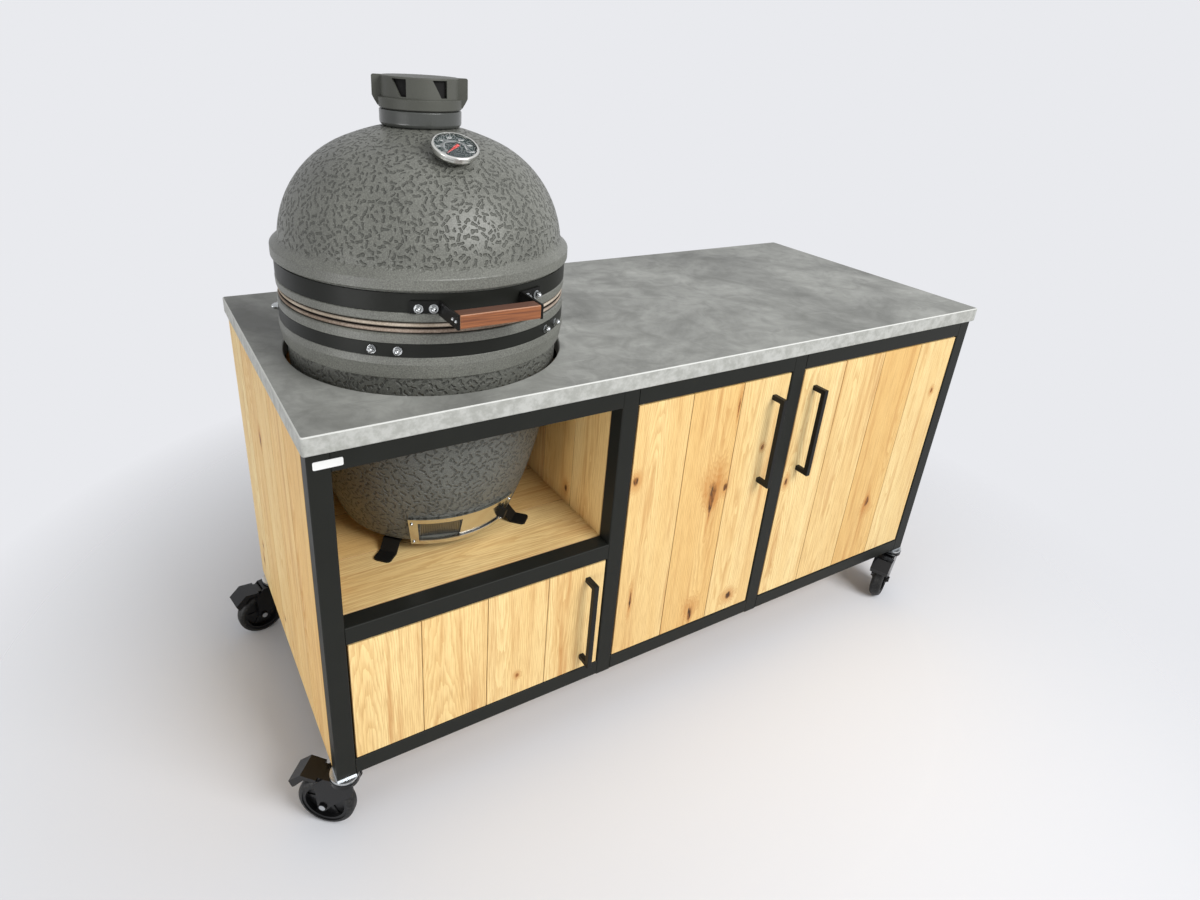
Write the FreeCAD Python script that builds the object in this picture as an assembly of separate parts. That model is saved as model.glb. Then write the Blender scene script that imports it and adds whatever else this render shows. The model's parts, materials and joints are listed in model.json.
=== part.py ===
import FreeCAD, Part
import math
import os
from FreeCAD import Vector

# Ceramic kamado grill built into an oak and steel outdoor kitchen on swivel casters.
# Shop frame while building: X along the front, Y to the rear, Z up, zero at the outer
# front left corner of the steel frame on its underside. Everything is moved at the end
# so that the origin lies on the floor under the middle of the whole object. Millimetres.

# Steel frame
tube = 40.0
tube_wall = 2.0
tube_round = 3.0
side_tube = 20.0
niche_side_gap = 16.5
niche_height = 375.0
middle_width = 445.0
right_width = 590.0
frame_depth = 751.0
frame_height = 758.0

# Oak boards
board = 20.0
inner_board = 18.0
board_gap = 0.5
board_chamfer = 1.2
board_end_gap = 1.0
side_boards = 5
rear_boards = 12
shelf_boards = 4
lower_door_boards = 4
middle_door_boards = 3
right_door_boards = 4

# Concrete worktop
slab = 36.0
overhang_front = 6.0
overhang_left = 6.0
overhang_right = 11.0
overhang_rear = 11.0
slab_chamfer = 2.0
slab_corner = 6.0
hole_clearance = 10.5

# Doors
door_gap = 3.0
door_setback = 1.5
pivot_from_edge = 12.0
pivot_from_face = 7.0
pivot_radius = 4.0
pivot_depth = 15.0
running_fit = 0.06
batten_width = 60.0
batten_thick = 17.0
batten_inset = 34.0
batten_from_end = 45.0
handle_bar = 12.0
handle_round = 1.0
handle_from_end = 30.5
handle_reach = 38.0
handle_from_edge = 45.0
handle_from_top = 53.0
magnet = Vector(40.0, 13.0, 14.0)
magnet_from_edge = 30.0
seat_gap = 0.3

# Blank plate on the front left corner
plate_length = 50.0
plate_height = 15.0
plate_thick = 1.2
plate_from_side = 10.0
plate_from_top = 14.5

# Kamado: all heights above the shelf, all radii measured from the seat of the bands
band_seat_radius = 283.2
band_thick = 3.0
niche_front_gap = 16.0
belly_bottom = 24.0
bottom_inset = 105.2
heel_inset = 85.2
heel_height = 38.0
lower_belly_inset = 61.7
lower_belly_height = 102.0
mid_belly_inset = 40.2
mid_belly_height = 176.0
inner_bend_inset = 17.2
inner_bend_height = 290.0
neck_inset = 7.2
neck_height = 430.0
collar_bottom_out = 0.6
collar_bottom_height = 442.5
collar_crease_out = 5.2
collar_crease_height = 470.0
base_band_low = 484.0
base_band_high = 509.0
rim_out = 2.8
lip_slope = 1.0
lip_round = 3.0
base_rim = 527.0
lid_rim = 548.5
lid_band_low = 567.0
lid_band_high = 600.5
lid_groove_top = 604.0
shoulder_low_out = 8.0
shoulder_low_height = 604.5
shoulder_crease_out = 7.8
shoulder_crease_height = 625.7
dome_start_inset = 7.7
dome_start_height = 640.0
dome_side_inset = 34.3
dome_side_share = 0.423
dome_bend_inset = 136.0
dome_bend_share = 0.873
flue_radius = 58.0
flue_edge = 10.0
dome_top = 840.0
base_wall = 23.0
lid_wall = 21.0
base_floor = 30.0
fit_gap = 0.2
gasket_gap = 0.4
gasket_inset = 2.0
gasket_width = 18.0
gasket_bulge = 4.0

# Band bolts and washers
washer_radius = 8.0
washer_thick = 1.6
nut_radius = 6.5
nut_height = 6.0
dome_nut_radius = 5.0
base_bolt_angles = (-39.5, -30.3, 31.9, 41.0, -103.0, 103.0)
lid_bolt_angles = (-22.8, -17.8, 18.2, 23.2)

# Lid handle
grip_length = 151.0
grip_depth = 27.5
grip_height = 24.5
grip_from_band = 44.0
grip_round = 2.0
bracket_thick = 4.0
bracket_height = 26.0
bracket_middle = 576.0
bracket_end_angle = 25.6
grip_screw_radius = 3.2

# Rear hinge of the lid
hinge_back = 34.0
hinge_height = 540.0
hinge_pin_radius = 5.0
hinge_eye = 12.0
hinge_plate = 4.0
hinge_half_angle = 18.0
hinge_bolt_angle = 14.6
base_ear_out = 58.0
lid_ear_out = 50.0
pin_head = 4.0
web_gap = 3.0
spring_wire = 3.5
spring_radius = 8.0
spring_pitch = 4.2
spring_full_turns = 6
spring_from_middle = 6.5
spring_leg_share = 0.38

# Chimney collar and turning cap
collar_foot_out = 8.0
collar_top_out = 8.2
collar_rise = 29.1
collar_round = 8.0
sleeve_out = 6.0
sleeve_wall = 4.0
sleeve_below_ceiling = 1.0
spigot_reach = 18.2
cap_bottom_rise = 31.6
cap_ring_rise = 49.0
cap_ring_out = 19.6
cap_wall_out = 13.0
cap_wall = 4.5
cap_plate = 3.0
cap_crown = 2.0
cap_hub_wall = 6.0
cap_ring_draft = 1.4
cap_top_rise = 86.0
cap_fit = 0.3
cap_round = 2.0
cap_lug_out = 29.5
cap_lug_width = 13.0
cap_lug_waist = 11.6
cap_lug_taper = 19.4
cap_lug_round = 3.0
cap_lug_angles = (-112.0, 68.0)
cap_window_angles = (-53.0, 9.5, 127.0, 189.5)
cap_window_top = 29.5
cap_window_foot = 12.5
sleeve_window = 20.0
cap_turn = 30.0
window_low_rise = 53.0
window_below_plate = 0.5

# Thermometer in the lid
dial_seat_inset = 117.7
dial_seat_height = 806.0
dial_turn = -1.5
dial_lean = 3.0
stem_radius = 5.0
stem_length = 70.0
case_foot = 20.0
case_foot_height = 2.5
case_radius = 41.5
case_body_inset = 2.0
case_body_round = 4.0
bezel_height = 14.0
bezel_groove = 6.0
case_height = 24.0
dial_depth = 5.0
dial_radius = 37.5
pointer_length = 27.0
pointer_tail = 11.0
pointer_thick = 0.8
pointer_radius = 3.0
pointer_angle = 128.0
glass_thick = 1.2

# Draft door at the foot of the base
draft_low = 24.0
draft_high = 104.0
draft_end = 31.5
draft_rail = 5.0
draft_block = 28.0
draft_face = 2.0
draft_lip = 7.0
draft_window_end = 26.6
draft_window_inset = 12.0
slider_thick = 2.0
slider_end_gap = 0.5
slider_gap = 1.2
slider_top_gap = 0.5
slider_travel = 25.3
tab_angle = 25.4
tab_half_angle = 0.9
tab_reach = 18.0
tab_low = 50.0
tab_high = 74.0
port_angle = -14.2
port_width = 82.0
port_height = 54.0
mesh_thick = 1.0
mesh_depth = 6.0
mesh_columns = 22
mesh_rows = 13
mesh_wire = 1.3
draft_screw_radius = 3.4

# Feet under the kamado
foot_width = 38.0
foot_plate = 4.0
foot_inner = 78.0
foot_knee = 8.0
foot_ankle = 12.0
foot_toe = 44.0
foot_round = 9.0
foot_angles = (-45.0, 45.0, 135.0, -135.0)

# Fire parts inside the base
fire_floor_gap = 0.3
firebox_foot_inset = 48.0
firebox_inset = 65.2
firebox_top = 320.0
firebox_wall = 26.0
firebox_ledge = 110.0
firebox_hole_inset = 103.0
fire_ring_inset = 55.2
fire_ring_wall = 28.0
fire_ring_top = 480.0
charcoal_grate_inset = 63.0
cooking_grate_inset = 59.2
grate_thick = 6.0
grate_slot = 11.0
grate_bar = 6.0
grate_rim = 10.0

# Casters
caster_height = 158.0
caster_plate = 4.0
race_radius = 30.0
race_height = 6.0
kingpin_radius = 6.0
caster_trail = 44.0
wheel_radius = 62.5
wheel_width = 32.0
rim_width = 28.0
tyre_depth = 12.0
tyre_round = 11.0
hub_radius = 14.0
hub_width = 37.0
wheel_rim = 7.0
wheel_spokes = 6
spoke_width = 8.0
web_width = 10.0
wheel_web = 6.0
axle_radius = 5.0
fork_inner = 19.0
fork_plate = 4.0
fork_head_radius = 31.0
fork_head_low = 21.0
fork_boss = 12.0
axle_head_radius = 9.0
pedal_half_width = 26.0
pedal_pin_radius = 3.0
caster_angles = {"front_left": 139.0, "front_right": 203.0, "rear_left": 190.0, "rear_right": 8.0}

# Outline of the kamado
heel = Vector(band_seat_radius - heel_inset, 0, heel_height)
lower_belly = Vector(band_seat_radius - lower_belly_inset, 0, lower_belly_height)
mid_belly = Vector(band_seat_radius - mid_belly_inset, 0, mid_belly_height)
inner_bend = Vector(band_seat_radius - inner_bend_inset, 0, inner_bend_height)
neck = Vector(band_seat_radius - neck_inset, 0, neck_height)
collar_bottom = Vector(band_seat_radius + collar_bottom_out, 0, collar_bottom_height)
collar_crease = Vector(band_seat_radius + collar_crease_out, 0, collar_crease_height)
rim_radius = band_seat_radius + rim_out
shoulder_low = Vector(band_seat_radius + shoulder_low_out, 0, shoulder_low_height)
shoulder_crease = Vector(band_seat_radius + shoulder_crease_out, 0, shoulder_crease_height)
dome_start = Vector(band_seat_radius - dome_start_inset, 0, dome_start_height)
dome_rise = dome_top - dome_start_height
dome_side = Vector(band_seat_radius - dome_side_inset, 0, dome_start.z + dome_side_share * dome_rise)
dome_bend = Vector(band_seat_radius - dome_bend_inset, 0, dome_start.z + dome_bend_share * dome_rise)
dome_neck = Vector(flue_radius + flue_edge, 0, dome_top)
dial_seat = Vector(band_seat_radius - dial_seat_inset, 0, dial_seat_height)

# Chimney collar, its sleeve and the cap, from the flue and the top of the dome
collar_foot = Vector(dome_neck.x + collar_foot_out, 0, dome_top + fit_gap)
collar_top = Vector(dome_neck.x + collar_top_out, 0, collar_foot.z + collar_rise)
sleeve_outer = flue_radius + sleeve_out
spigot_low = collar_foot.z - spigot_reach
cap_bottom = collar_foot.z + cap_bottom_rise
cap_ring_top = collar_foot.z + cap_ring_rise
cap_ring_radius = flue_radius + cap_ring_out
cap_wall_outer = flue_radius + cap_wall_out
cap_wall_inner = cap_wall_outer - cap_wall
cap_top = collar_foot.z + cap_top_rise
cap_ceiling = cap_top - cap_plate
sleeve_top = cap_ceiling - sleeve_below_ceiling
cap_lug_reach = flue_radius + cap_lug_out
window_low = collar_foot.z + window_low_rise
window_high = cap_ceiling - window_below_plate

# Places that follow from the sizes above
niche_width = 2 * (neck.x + niche_side_gap)
frame_length = 4 * tube + niche_width + middle_width + right_width
post_2 = tube + niche_width
post_3 = post_2 + tube + middle_width
rear_face = frame_depth - board
rear_post_face = rear_face - tube
shelf_top = frame_height - niche_height
lower_bay_height = shelf_top - 2 * tube
shelf_low = shelf_top - board
top_rail_low = frame_height - tube
slab_top = frame_height + slab
handle_spacing = lower_bay_height - 2 * (door_gap + handle_from_end) - handle_bar
kamado_x = tube + niche_width / 2
kamado_y = tube + neck.x + niche_front_gap
axis_up = Vector(0, 0, 1)


def box(x0, y0, z0, x1, y1, z1):
    return Part.makeBox(x1 - x0, y1 - y0, z1 - z0, Vector(x0, y0, z0))


def rod(centre, radius, length, direction=axis_up):
    return Part.makeCylinder(radius, length, centre, direction)


def prism(points, depth):
    face = Part.Face(Part.makePolygon(points + [points[0]]))
    return face.extrude(depth)


def smooth_arc(start, heading, end):
    # The arc that leaves start along heading and ends at end.
    chord = end - start
    half_turn = heading.getAngle(chord)
    up = heading - chord * (heading.dot(chord) / chord.dot(chord))
    rise = chord.Length / 2 * math.tan(half_turn / 2)
    middle = start + chord * 0.5 + up * (rise / up.Length)
    return Part.Arc(start, middle, end)


def outline(start, *steps):
    # A step is a corner to run straight to, a corner with the radius that rounds it, or a
    # list: a point on an arc, its end, and the ends of more arcs that carry on smoothly.
    edges = []
    here = start
    for i, step in enumerate(steps):
        if isinstance(step, tuple):
            corner, radius = step
            following = steps[i + 1]
            beyond = following[0] if isinstance(following, tuple) else following
            back = (here - corner).normalize()
            on = (beyond - corner).normalize()
            half = back.getAngle(on) / 2
            reach = radius / math.tan(half)
            middle = corner + (back + on).normalize() * (radius / math.sin(half) - radius)
            edges.append(Part.makeLine(here, corner + back * reach))
            edges.append(Part.Arc(corner + back * reach, middle, corner + on * reach).toShape())
            here = corner + on * reach
        elif isinstance(step, list):
            arc = Part.Arc(here, step[0], step[1])
            edges.append(arc.toShape())
            for end in step[2:]:
                arc = smooth_arc(arc.EndPoint, arc.tangent(arc.LastParameter)[0], end)
                edges.append(arc.toShape())
            here = step[-1]
        else:
            edges.append(Part.makeLine(here, step))
            here = step
    edges.append(Part.makeLine(here, start))
    return Part.Face(Part.Wire(edges))


def at_kamado(shape):
    return shape.translated(Vector(kamado_x, kamado_y, shelf_top))


def turned(face, from_angle=0.0, to_angle=360.0):
    # Angles are azimuths: zero at the front, growing to the right.
    solid = face.revolve(Vector(), axis_up, to_angle - from_angle)
    solid.rotate(Vector(), axis_up, from_angle - 90)
    return solid


def ring(inner, outer, low, high, from_angle=0.0, to_angle=360.0):
    corners = [Vector(inner, 0, low), Vector(outer, 0, low), Vector(outer, 0, high), Vector(inner, 0, high)]
    return turned(outline(*corners), from_angle, to_angle)


def outward(angle):
    return Vector(math.sin(math.radians(angle)), -math.cos(math.radians(angle)), 0)


def around(shape, angle):
    # Turn a shape made at the front, on the minus Y side, to an azimuth.
    return shape.rotated(Vector(), axis_up, angle)


def long_edges(shape, along):
    # The straight edges of a bar that run the way it does.
    return [e for e in shape.Edges if abs(getattr(e.Vertexes[0].Point - e.Vertexes[-1].Point, along)) > tube]


def square_tube(x0, y0, z0, x1, y1, z1, along):
    outer = box(x0, y0, z0, x1, y1, z1)
    outer = outer.makeFillet(tube_round, long_edges(outer, along))
    wall = {"x": Vector(0, tube_wall, tube_wall), "y": Vector(tube_wall, 0, tube_wall),
            "z": Vector(tube_wall, tube_wall, 0)}[along]
    inner = box(x0 + wall.x, y0 + wall.y, z0 + wall.z, x1 - wall.x, y1 - wall.y, z1 - wall.z)
    return outer.cut(inner)


def on_axes(first, a, second, b, third, c):
    value = {first: a, second: b, third: c}
    return Vector(value["x"], value["y"], value["z"])


def boards(x0, y0, z0, x1, y1, z1, across, along, count):
    # Boards side by side in the box, with their long edges chamfered.
    low = {"x": x0, "y": y0, "z": z0}
    high = {"x": x1, "y": y1, "z": z1}
    through = ({"x", "y", "z"} - {across, along}).pop()
    pitch = (high[across] - low[across] + board_gap) / count
    c = board_chamfer
    made = []
    for i in range(count):
        a0 = low[across] + i * pitch
        a1 = a0 + pitch - board_gap
        t0, t1 = low[through], high[through]
        section = [(a0 + c, t0), (a1 - c, t0), (a1, t0 + c), (a1, t1 - c),
                   (a1 - c, t1), (a0 + c, t1), (a0, t1 - c), (a0, t0 + c)]
        corners = [on_axes(across, a, through, t, along, low[along]) for a, t in section]
        run = on_axes(across, 0, through, 0, along, high[along] - low[along])
        made.append(prism(corners, run))
    return made


def posts():
    front = [0, post_2, post_3, frame_length - tube]
    rear = [board, post_2, post_3, frame_length - board - tube]
    made = [square_tube(x, 0, 0, x + tube, tube, frame_height, "z") for x in front]
    made += [square_tube(x, rear_post_face, 0, x + tube, rear_face, frame_height, "z") for x in rear]
    return made


def rails():
    bays = [(tube, post_2), (post_2 + tube, post_3), (post_3 + tube, frame_length - tube)]
    rear_bays = [(board + tube, post_2), (post_2 + tube, post_3),
                 (post_3 + tube, frame_length - board - tube)]
    levels = [0, top_rail_low]
    made = []
    for low in levels:
        made += [square_tube(a, 0, low, b, tube, low + tube, "x") for a, b in bays]
        made += [square_tube(a, rear_post_face, low, b, rear_face, low + tube, "x")
                 for a, b in rear_bays]
        for x in (post_2, post_3):
            made.append(square_tube(x, tube, low, x + tube, rear_post_face, low + tube, "y"))
        for x in (board, frame_length - board - side_tube):
            made.append(square_tube(x, tube, low, x + side_tube, rear_post_face, low + tube, "y"))
    shelf_rail_low = shelf_top - tube
    made.append(square_tube(tube, 0, shelf_rail_low, post_2, tube, shelf_top, "x"))
    made.append(square_tube(board + tube, rear_post_face, shelf_rail_low, post_2, rear_face,
                            shelf_top, "x"))
    bearer_low = shelf_low - tube
    made.append(square_tube(board, tube, bearer_low, board + side_tube, rear_post_face,
                            shelf_low, "y"))
    made.append(square_tube(post_2, tube, bearer_low, post_2 + tube, rear_post_face, shelf_low, "y"))
    return made


def side_cladding(x0):
    top = frame_height - board_end_gap
    return boards(x0, tube, board_end_gap, x0 + board, frame_depth, top, "y", "z", side_boards)


def rear_cladding():
    x1 = frame_length - board
    top = frame_height - board_end_gap
    return boards(board, rear_face, board_end_gap, x1, frame_depth, top, "x", "z", rear_boards)


def inner_walls():
    made = boards(post_2, tube, shelf_top, post_2 + inner_board, rear_post_face, top_rail_low,
                  "y", "z", side_boards)
    made += boards(post_2, tube, tube, post_2 + inner_board, rear_post_face, shelf_low - tube,
                   "y", "z", side_boards)
    made += boards(post_3, tube, tube, post_3 + inner_board, rear_post_face, top_rail_low,
                   "y", "z", side_boards)
    return made


def shelf():
    return boards(board, tube, shelf_low, post_2 + inner_board, rear_post_face, shelf_top,
                  "y", "x", shelf_boards)


def cabinet_floors():
    starts = [board, post_2 + inner_board, post_3 + inner_board]
    ends = [post_2, post_3, frame_length - board]
    made = []
    for a, b in zip(starts, ends):
        made += boards(a, tube, tube, b, rear_post_face, tube + inner_board, "y", "x", shelf_boards)
    return made


def worktop():
    top = box(-overhang_left, -overhang_front, frame_height, frame_length + overhang_right,
              frame_depth + overhang_rear, slab_top)
    upright = [e for e in top.Edges if abs(e.Vertexes[0].Z - e.Vertexes[1].Z) > slab / 2]
    top = top.makeFillet(slab_corner, upright)
    level = [e for e in top.Edges if abs(e.Vertexes[0].Z - e.Vertexes[-1].Z) < slab / 2]
    top = top.makeChamfer(slab_chamfer, level)
    hole = neck.x + hole_clearance
    top = top.cut(rod(Vector(kamado_x, kamado_y, frame_height), hole, slab))
    mouth = Part.makeCone(hole, hole + slab_chamfer, slab_chamfer,
                          Vector(kamado_x, kamado_y, slab_top - slab_chamfer))
    return top.cut(mouth)


def name_plate():
    high = frame_height - plate_from_top
    plate = box(plate_from_side, -plate_thick, high - plate_height,
                plate_from_side + plate_length, 0, high)
    upright = [e for e in plate.Edges if abs(e.Vertexes[0].Y - e.Vertexes[1].Y) > plate_thick / 2]
    return plate.makeFillet(plate_height / 6, upright)


class Door:
    def __init__(self, name, x0, x1, z1, count, hinge_left):
        self.name = name
        self.x0, self.x1 = x0 + door_gap, x1 - door_gap
        self.z0, self.z1 = tube + door_gap, z1 - door_gap
        self.low, self.high = tube, z1
        self.count = count
        self.hinge_left = hinge_left
        self.front = door_setback
        self.back = door_setback + board
        self.pivot_x = self.x0 + pivot_from_edge if hinge_left else self.x1 - pivot_from_edge
        self.handle_x = self.x1 - handle_from_edge if hinge_left else self.x0 + handle_from_edge
        self.pivot_y = self.front + pivot_from_face

    def leaf(self):
        made = boards(self.x0, self.front, self.z0, self.x1, self.back, self.z1, "x", "z", self.count)
        radius = pivot_radius + running_fit
        depth = pivot_depth + 1
        for low in (self.z0, self.z1 - depth):
            bore = rod(Vector(self.pivot_x, self.pivot_y, low), radius, depth)
            made = [b.cut(bore) for b in made]
        for z in (self.z0 + batten_from_end, self.z1 - batten_from_end - batten_width):
            made.append(box(self.x0 + batten_inset, self.back, z,
                            self.x1 - batten_inset, self.back + batten_thick, z + batten_width))
        return made

    def pins(self):
        up = rod(Vector(self.pivot_x, self.pivot_y, self.low), pivot_radius, door_gap + pivot_depth)
        down = rod(Vector(self.pivot_x, self.pivot_y, self.high - door_gap - pivot_depth),
                   pivot_radius, door_gap + pivot_depth)
        return [up, down]

    def handle(self):
        h = handle_bar / 2
        x0, x1 = self.handle_x - h, self.handle_x + h
        z1 = self.z1 - handle_from_top + h
        if self.name == "lower_door":
            z1 = (self.z0 + self.z1) / 2 + handle_spacing / 2 + h
        z0 = z1 - handle_spacing - handle_bar
        y0 = self.front - handle_reach
        bar = box(x0, y0, z0, x1, y0 + handle_bar, z1)
        legs = [box(x0, y0, z, x1, self.front, z + handle_bar) for z in (z0, z1 - handle_bar)]
        whole_bar = bar.fuse(legs[0]).fuse(legs[1]).removeSplitter()
        shown = [e for e in whole_bar.Edges if e.BoundBox.YMin < self.front - handle_round]
        return whole_bar.makeFillet(handle_round, shown)

    def catch(self):
        x0 = self.x1 - magnet_from_edge - magnet.x if self.hinge_left else self.x0 + magnet_from_edge
        y0 = self.back + seat_gap
        return box(x0, y0, self.high - magnet.z, x0 + magnet.x, y0 + magnet.y, self.high)


doors = [
    Door("lower_door", tube, post_2, tube + lower_bay_height, lower_door_boards, True),
    Door("middle_door", post_2 + tube, post_3, top_rail_low, middle_door_boards, True),
    Door("right_door", post_3 + tube, frame_length - tube, top_rail_low, right_door_boards, False),
]


def inner_point(p, wall):
    return Vector(p.x - wall, 0, p.z)


def slope_radius(height):
    # Radius of the cone that the draft door is built on.
    rate = (lower_belly.x - heel.x) / (lower_belly.z - heel.z)
    return heel.x + rate * (height - heel.z)


def cone_piece(inner, outer, low, high, from_angle, to_angle):
    face = outline(Vector(slope_radius(low) + inner, 0, low), Vector(slope_radius(low) + outer, 0, low),
                   Vector(slope_radius(high) + outer, 0, high), Vector(slope_radius(high) + inner, 0, high))
    return turned(face, from_angle, to_angle)


def port_place():
    # Placement of the draft port: X across, Y into the ceramic, Z up the slope.
    middle = (draft_low + draft_high) / 2
    lean = math.atan2(lower_belly.x - heel.x, lower_belly.z - heel.z)
    out = outward(port_angle)
    across = Vector(-out.y, out.x, 0)
    up = out * math.sin(lean) + axis_up * math.cos(lean)
    inward = (out * math.cos(lean) - axis_up * math.sin(lean)) * -1
    spot = out * slope_radius(middle) + axis_up * middle
    return FreeCAD.Placement(spot, FreeCAD.Rotation(across, inward, up, "XZY"))


def port_block(width, height, near, far):
    block = box(-width / 2, near, -height / 2, width / 2, far, height / 2)
    block.Placement = port_place()
    return block


def base_shell():
    w = base_wall
    floor = belly_bottom + base_floor
    low_inner = Vector(heel.x - w, 0, floor + w / 2)
    groove = band_seat_radius - fit_gap
    bottom_edge = Vector(band_seat_radius - bottom_inset, 0, belly_bottom)
    round_edge = smooth_arc(bottom_edge, Vector(1, 0, 0), heel)
    face = outline(
        Vector(0, 0, belly_bottom),
        bottom_edge,
        [round_edge.value((round_edge.FirstParameter + round_edge.LastParameter) / 2), heel],
        [lower_belly, mid_belly, neck],
        Vector(neck.x, 0, collar_bottom.z),
        (collar_bottom, lip_round / 2),
        collar_crease,
        (Vector(rim_radius + lip_slope, 0, base_band_low), lip_round / 2),
        Vector(groove, 0, base_band_low),
        Vector(groove, 0, base_band_high),
        (Vector(rim_radius + lip_slope / 2, 0, base_band_high), lip_round / 2),
        (Vector(rim_radius, 0, base_rim), lip_round),
        Vector(rim_radius - w, 0, base_rim),
        inner_point(neck, w),
        [inner_point(inner_bend, w), inner_point(mid_belly, w)],
        [inner_point(lower_belly, w), low_inner],
        Vector(low_inner.x - w / 2, 0, floor),
        Vector(0, 0, floor),
    )
    shell = turned(face)
    seat = cone_piece(-1.0, base_wall, draft_low - 2, draft_high + 1, -draft_end - 1, draft_end + 1)
    shell = shell.cut(seat)
    return shell.cut(port_block(port_width, port_height, -base_wall, 3 * base_wall))


def dome_arcs():
    side = Part.Arc(dome_start, dome_side, dome_bend)
    return side, smooth_arc(dome_bend, side.tangent(side.LastParameter)[0], dome_neck)


def inward(arc, spot, wall):
    # The point one wall thickness inside a point of an outline arc.
    centre = arc.toShape().Curve.Center
    return spot + (centre - spot) * (wall / spot.distanceToPoint(centre))


def lid_shell():
    w = lid_wall
    groove = band_seat_radius - fit_gap
    side_arc, top_arc = dome_arcs()
    inner_top = inward(top_arc, dome_neck, w)
    face = outline(
        Vector(rim_radius - w, 0, lid_rim),
        (Vector(rim_radius, 0, lid_rim), lip_round),
        (Vector(rim_radius + lip_slope, 0, lid_band_low), lip_round),
        Vector(groove, 0, lid_band_low),
        Vector(groove, 0, lid_groove_top),
        (shoulder_low, lip_round),
        (shoulder_crease, lip_round),
        Vector(dome_start.x + 3, 0, dome_start.z - 3),
        dome_start,
        [dome_side, dome_bend, dome_neck],
        Vector(flue_radius, 0, dome_neck.z),
        Vector(flue_radius, 0, inner_top.z),
        inner_top,
        [inward(side_arc, dome_bend, w), inward(side_arc, dome_side, w)],
        Vector(dome_start.x - w, 0, dome_start.z),
    )
    shell = turned(face)
    seat, out = thermometer_seat()
    bore = rod(seat - out * (2 * lid_wall), stem_radius + fit_gap, 4 * lid_wall, out)
    return shell.cut(bore)


def thermometer_seat():
    # Point on the dome under the thermometer, and the way it faces: a little more upward
    # than the dome does there.
    arc = dome_arcs()[0]
    u = arc.parameter(dial_seat)
    on_arc = arc.value(u)
    along = arc.tangent(u)[0]
    tilt = math.atan2(abs(along.x), abs(along.z)) + math.radians(dial_lean)
    front = outward(dial_turn)
    out = front * math.cos(tilt) + axis_up * math.sin(tilt)
    return front * on_arc.x + axis_up * on_arc.z, out


def gasket(low, high):
    # A soft strip whose outer edge is pressed out round.
    outer = rim_radius - gasket_inset
    edge = outer - gasket_bulge
    return turned(outline(
        Vector(outer - gasket_width, 0, low), Vector(edge, 0, low),
        [Vector(outer, 0, (low + high) / 2), Vector(edge, 0, high)],
        Vector(outer - gasket_width, 0, high)))


def dome_nut(radius, height, angle):
    # Washer, nut and domed end, standing on a band at this azimuth.
    washer = rod(Vector(), washer_radius, washer_thick)
    nut = prism([Vector(nut_radius * math.cos(math.radians(a)), nut_radius * math.sin(math.radians(a)),
                        washer_thick) for a in range(0, 360, 60)], axis_up * nut_height)
    shank = rod(Vector(0, 0, washer_thick), dome_nut_radius, nut_height)
    cap = Part.makeSphere(dome_nut_radius, Vector(0, 0, washer_thick + nut_height), axis_up, 0, 90, 360)
    part = washer.fuse(nut).fuse(shank).fuse(cap).removeSplitter()
    part.Placement = FreeCAD.Placement(Vector(0, -radius, height), FreeCAD.Rotation(axis_up, outward(0)))
    return around(part, angle)


def base_fasteners():
    middle = (base_band_low + base_band_high) / 2
    seat = band_seat_radius + band_thick + fit_gap
    made = [dome_nut(seat, middle, a) for a in base_bolt_angles]
    made += [dome_nut(seat + hinge_plate, middle, 180 + a) for a in (-hinge_bolt_angle, hinge_bolt_angle)]
    for place in draft_screw_places():
        screw = rod(Vector(), draft_screw_radius * 0.55, draft_lip)
        head = Part.makeSphere(draft_screw_radius, Vector(0, 0, draft_lip), axis_up, 0, 90, 360)
        screw = screw.fuse(head)
        screw.Placement = place
        made.append(screw)
    return made


def draft_screw_places():
    lean = math.atan2(lower_belly.x - heel.x, lower_belly.z - heel.z)
    places = []
    for angle in (-(draft_end + draft_block) / 2, (draft_end + draft_block) / 2):
        out = outward(angle)
        normal = out * math.cos(lean) - axis_up * math.sin(lean)
        for height in (draft_low + 2.2 * draft_rail, draft_high - 2.2 * draft_rail):
            spot = out * slope_radius(height) + axis_up * height
            places.append(FreeCAD.Placement(spot, FreeCAD.Rotation(axis_up, normal)))
    return places


def draft_frame():
    back = fit_gap - 1
    lip_in = draft_lip - draft_face
    face = cone_piece(lip_in, draft_lip, draft_low, draft_high, -draft_end, draft_end)
    window = cone_piece(-1, draft_lip + 2, draft_low + draft_window_inset, draft_high - draft_window_inset,
                        -draft_window_end, draft_window_end)
    face = face.cut(window)
    low_rail = cone_piece(back, lip_in, draft_low, draft_low + draft_rail, -draft_end, draft_end)
    high_rail = cone_piece(back, lip_in, draft_high - draft_rail, draft_high, -draft_end, draft_end)
    low, high = draft_low + draft_rail, draft_high - draft_rail
    left = cone_piece(back, lip_in, low, high, -draft_end, -draft_block)
    right = cone_piece(back, lip_in, low, high, draft_block, draft_end)
    frame = face.fuse([low_rail, high_rail, left, right]).removeSplitter()
    for place in draft_screw_places():
        bore = rod(Vector(), draft_screw_radius * 0.55 + running_fit, 2 * draft_lip)
        bore.Placement = place
        frame = frame.cut(bore)
    return frame


def draft_door():
    low = draft_low + draft_rail + slider_top_gap
    high = draft_high - draft_rail - slider_top_gap
    far_end = draft_block - slider_end_gap
    return cone_piece(slider_gap, slider_gap + slider_thick, low, high, slider_travel - far_end, far_end)


def draft_door_tab():
    start = slider_gap + slider_thick
    return cone_piece(start, start + tab_reach, tab_low, tab_high,
                      tab_angle - tab_half_angle, tab_angle + tab_half_angle)


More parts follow.
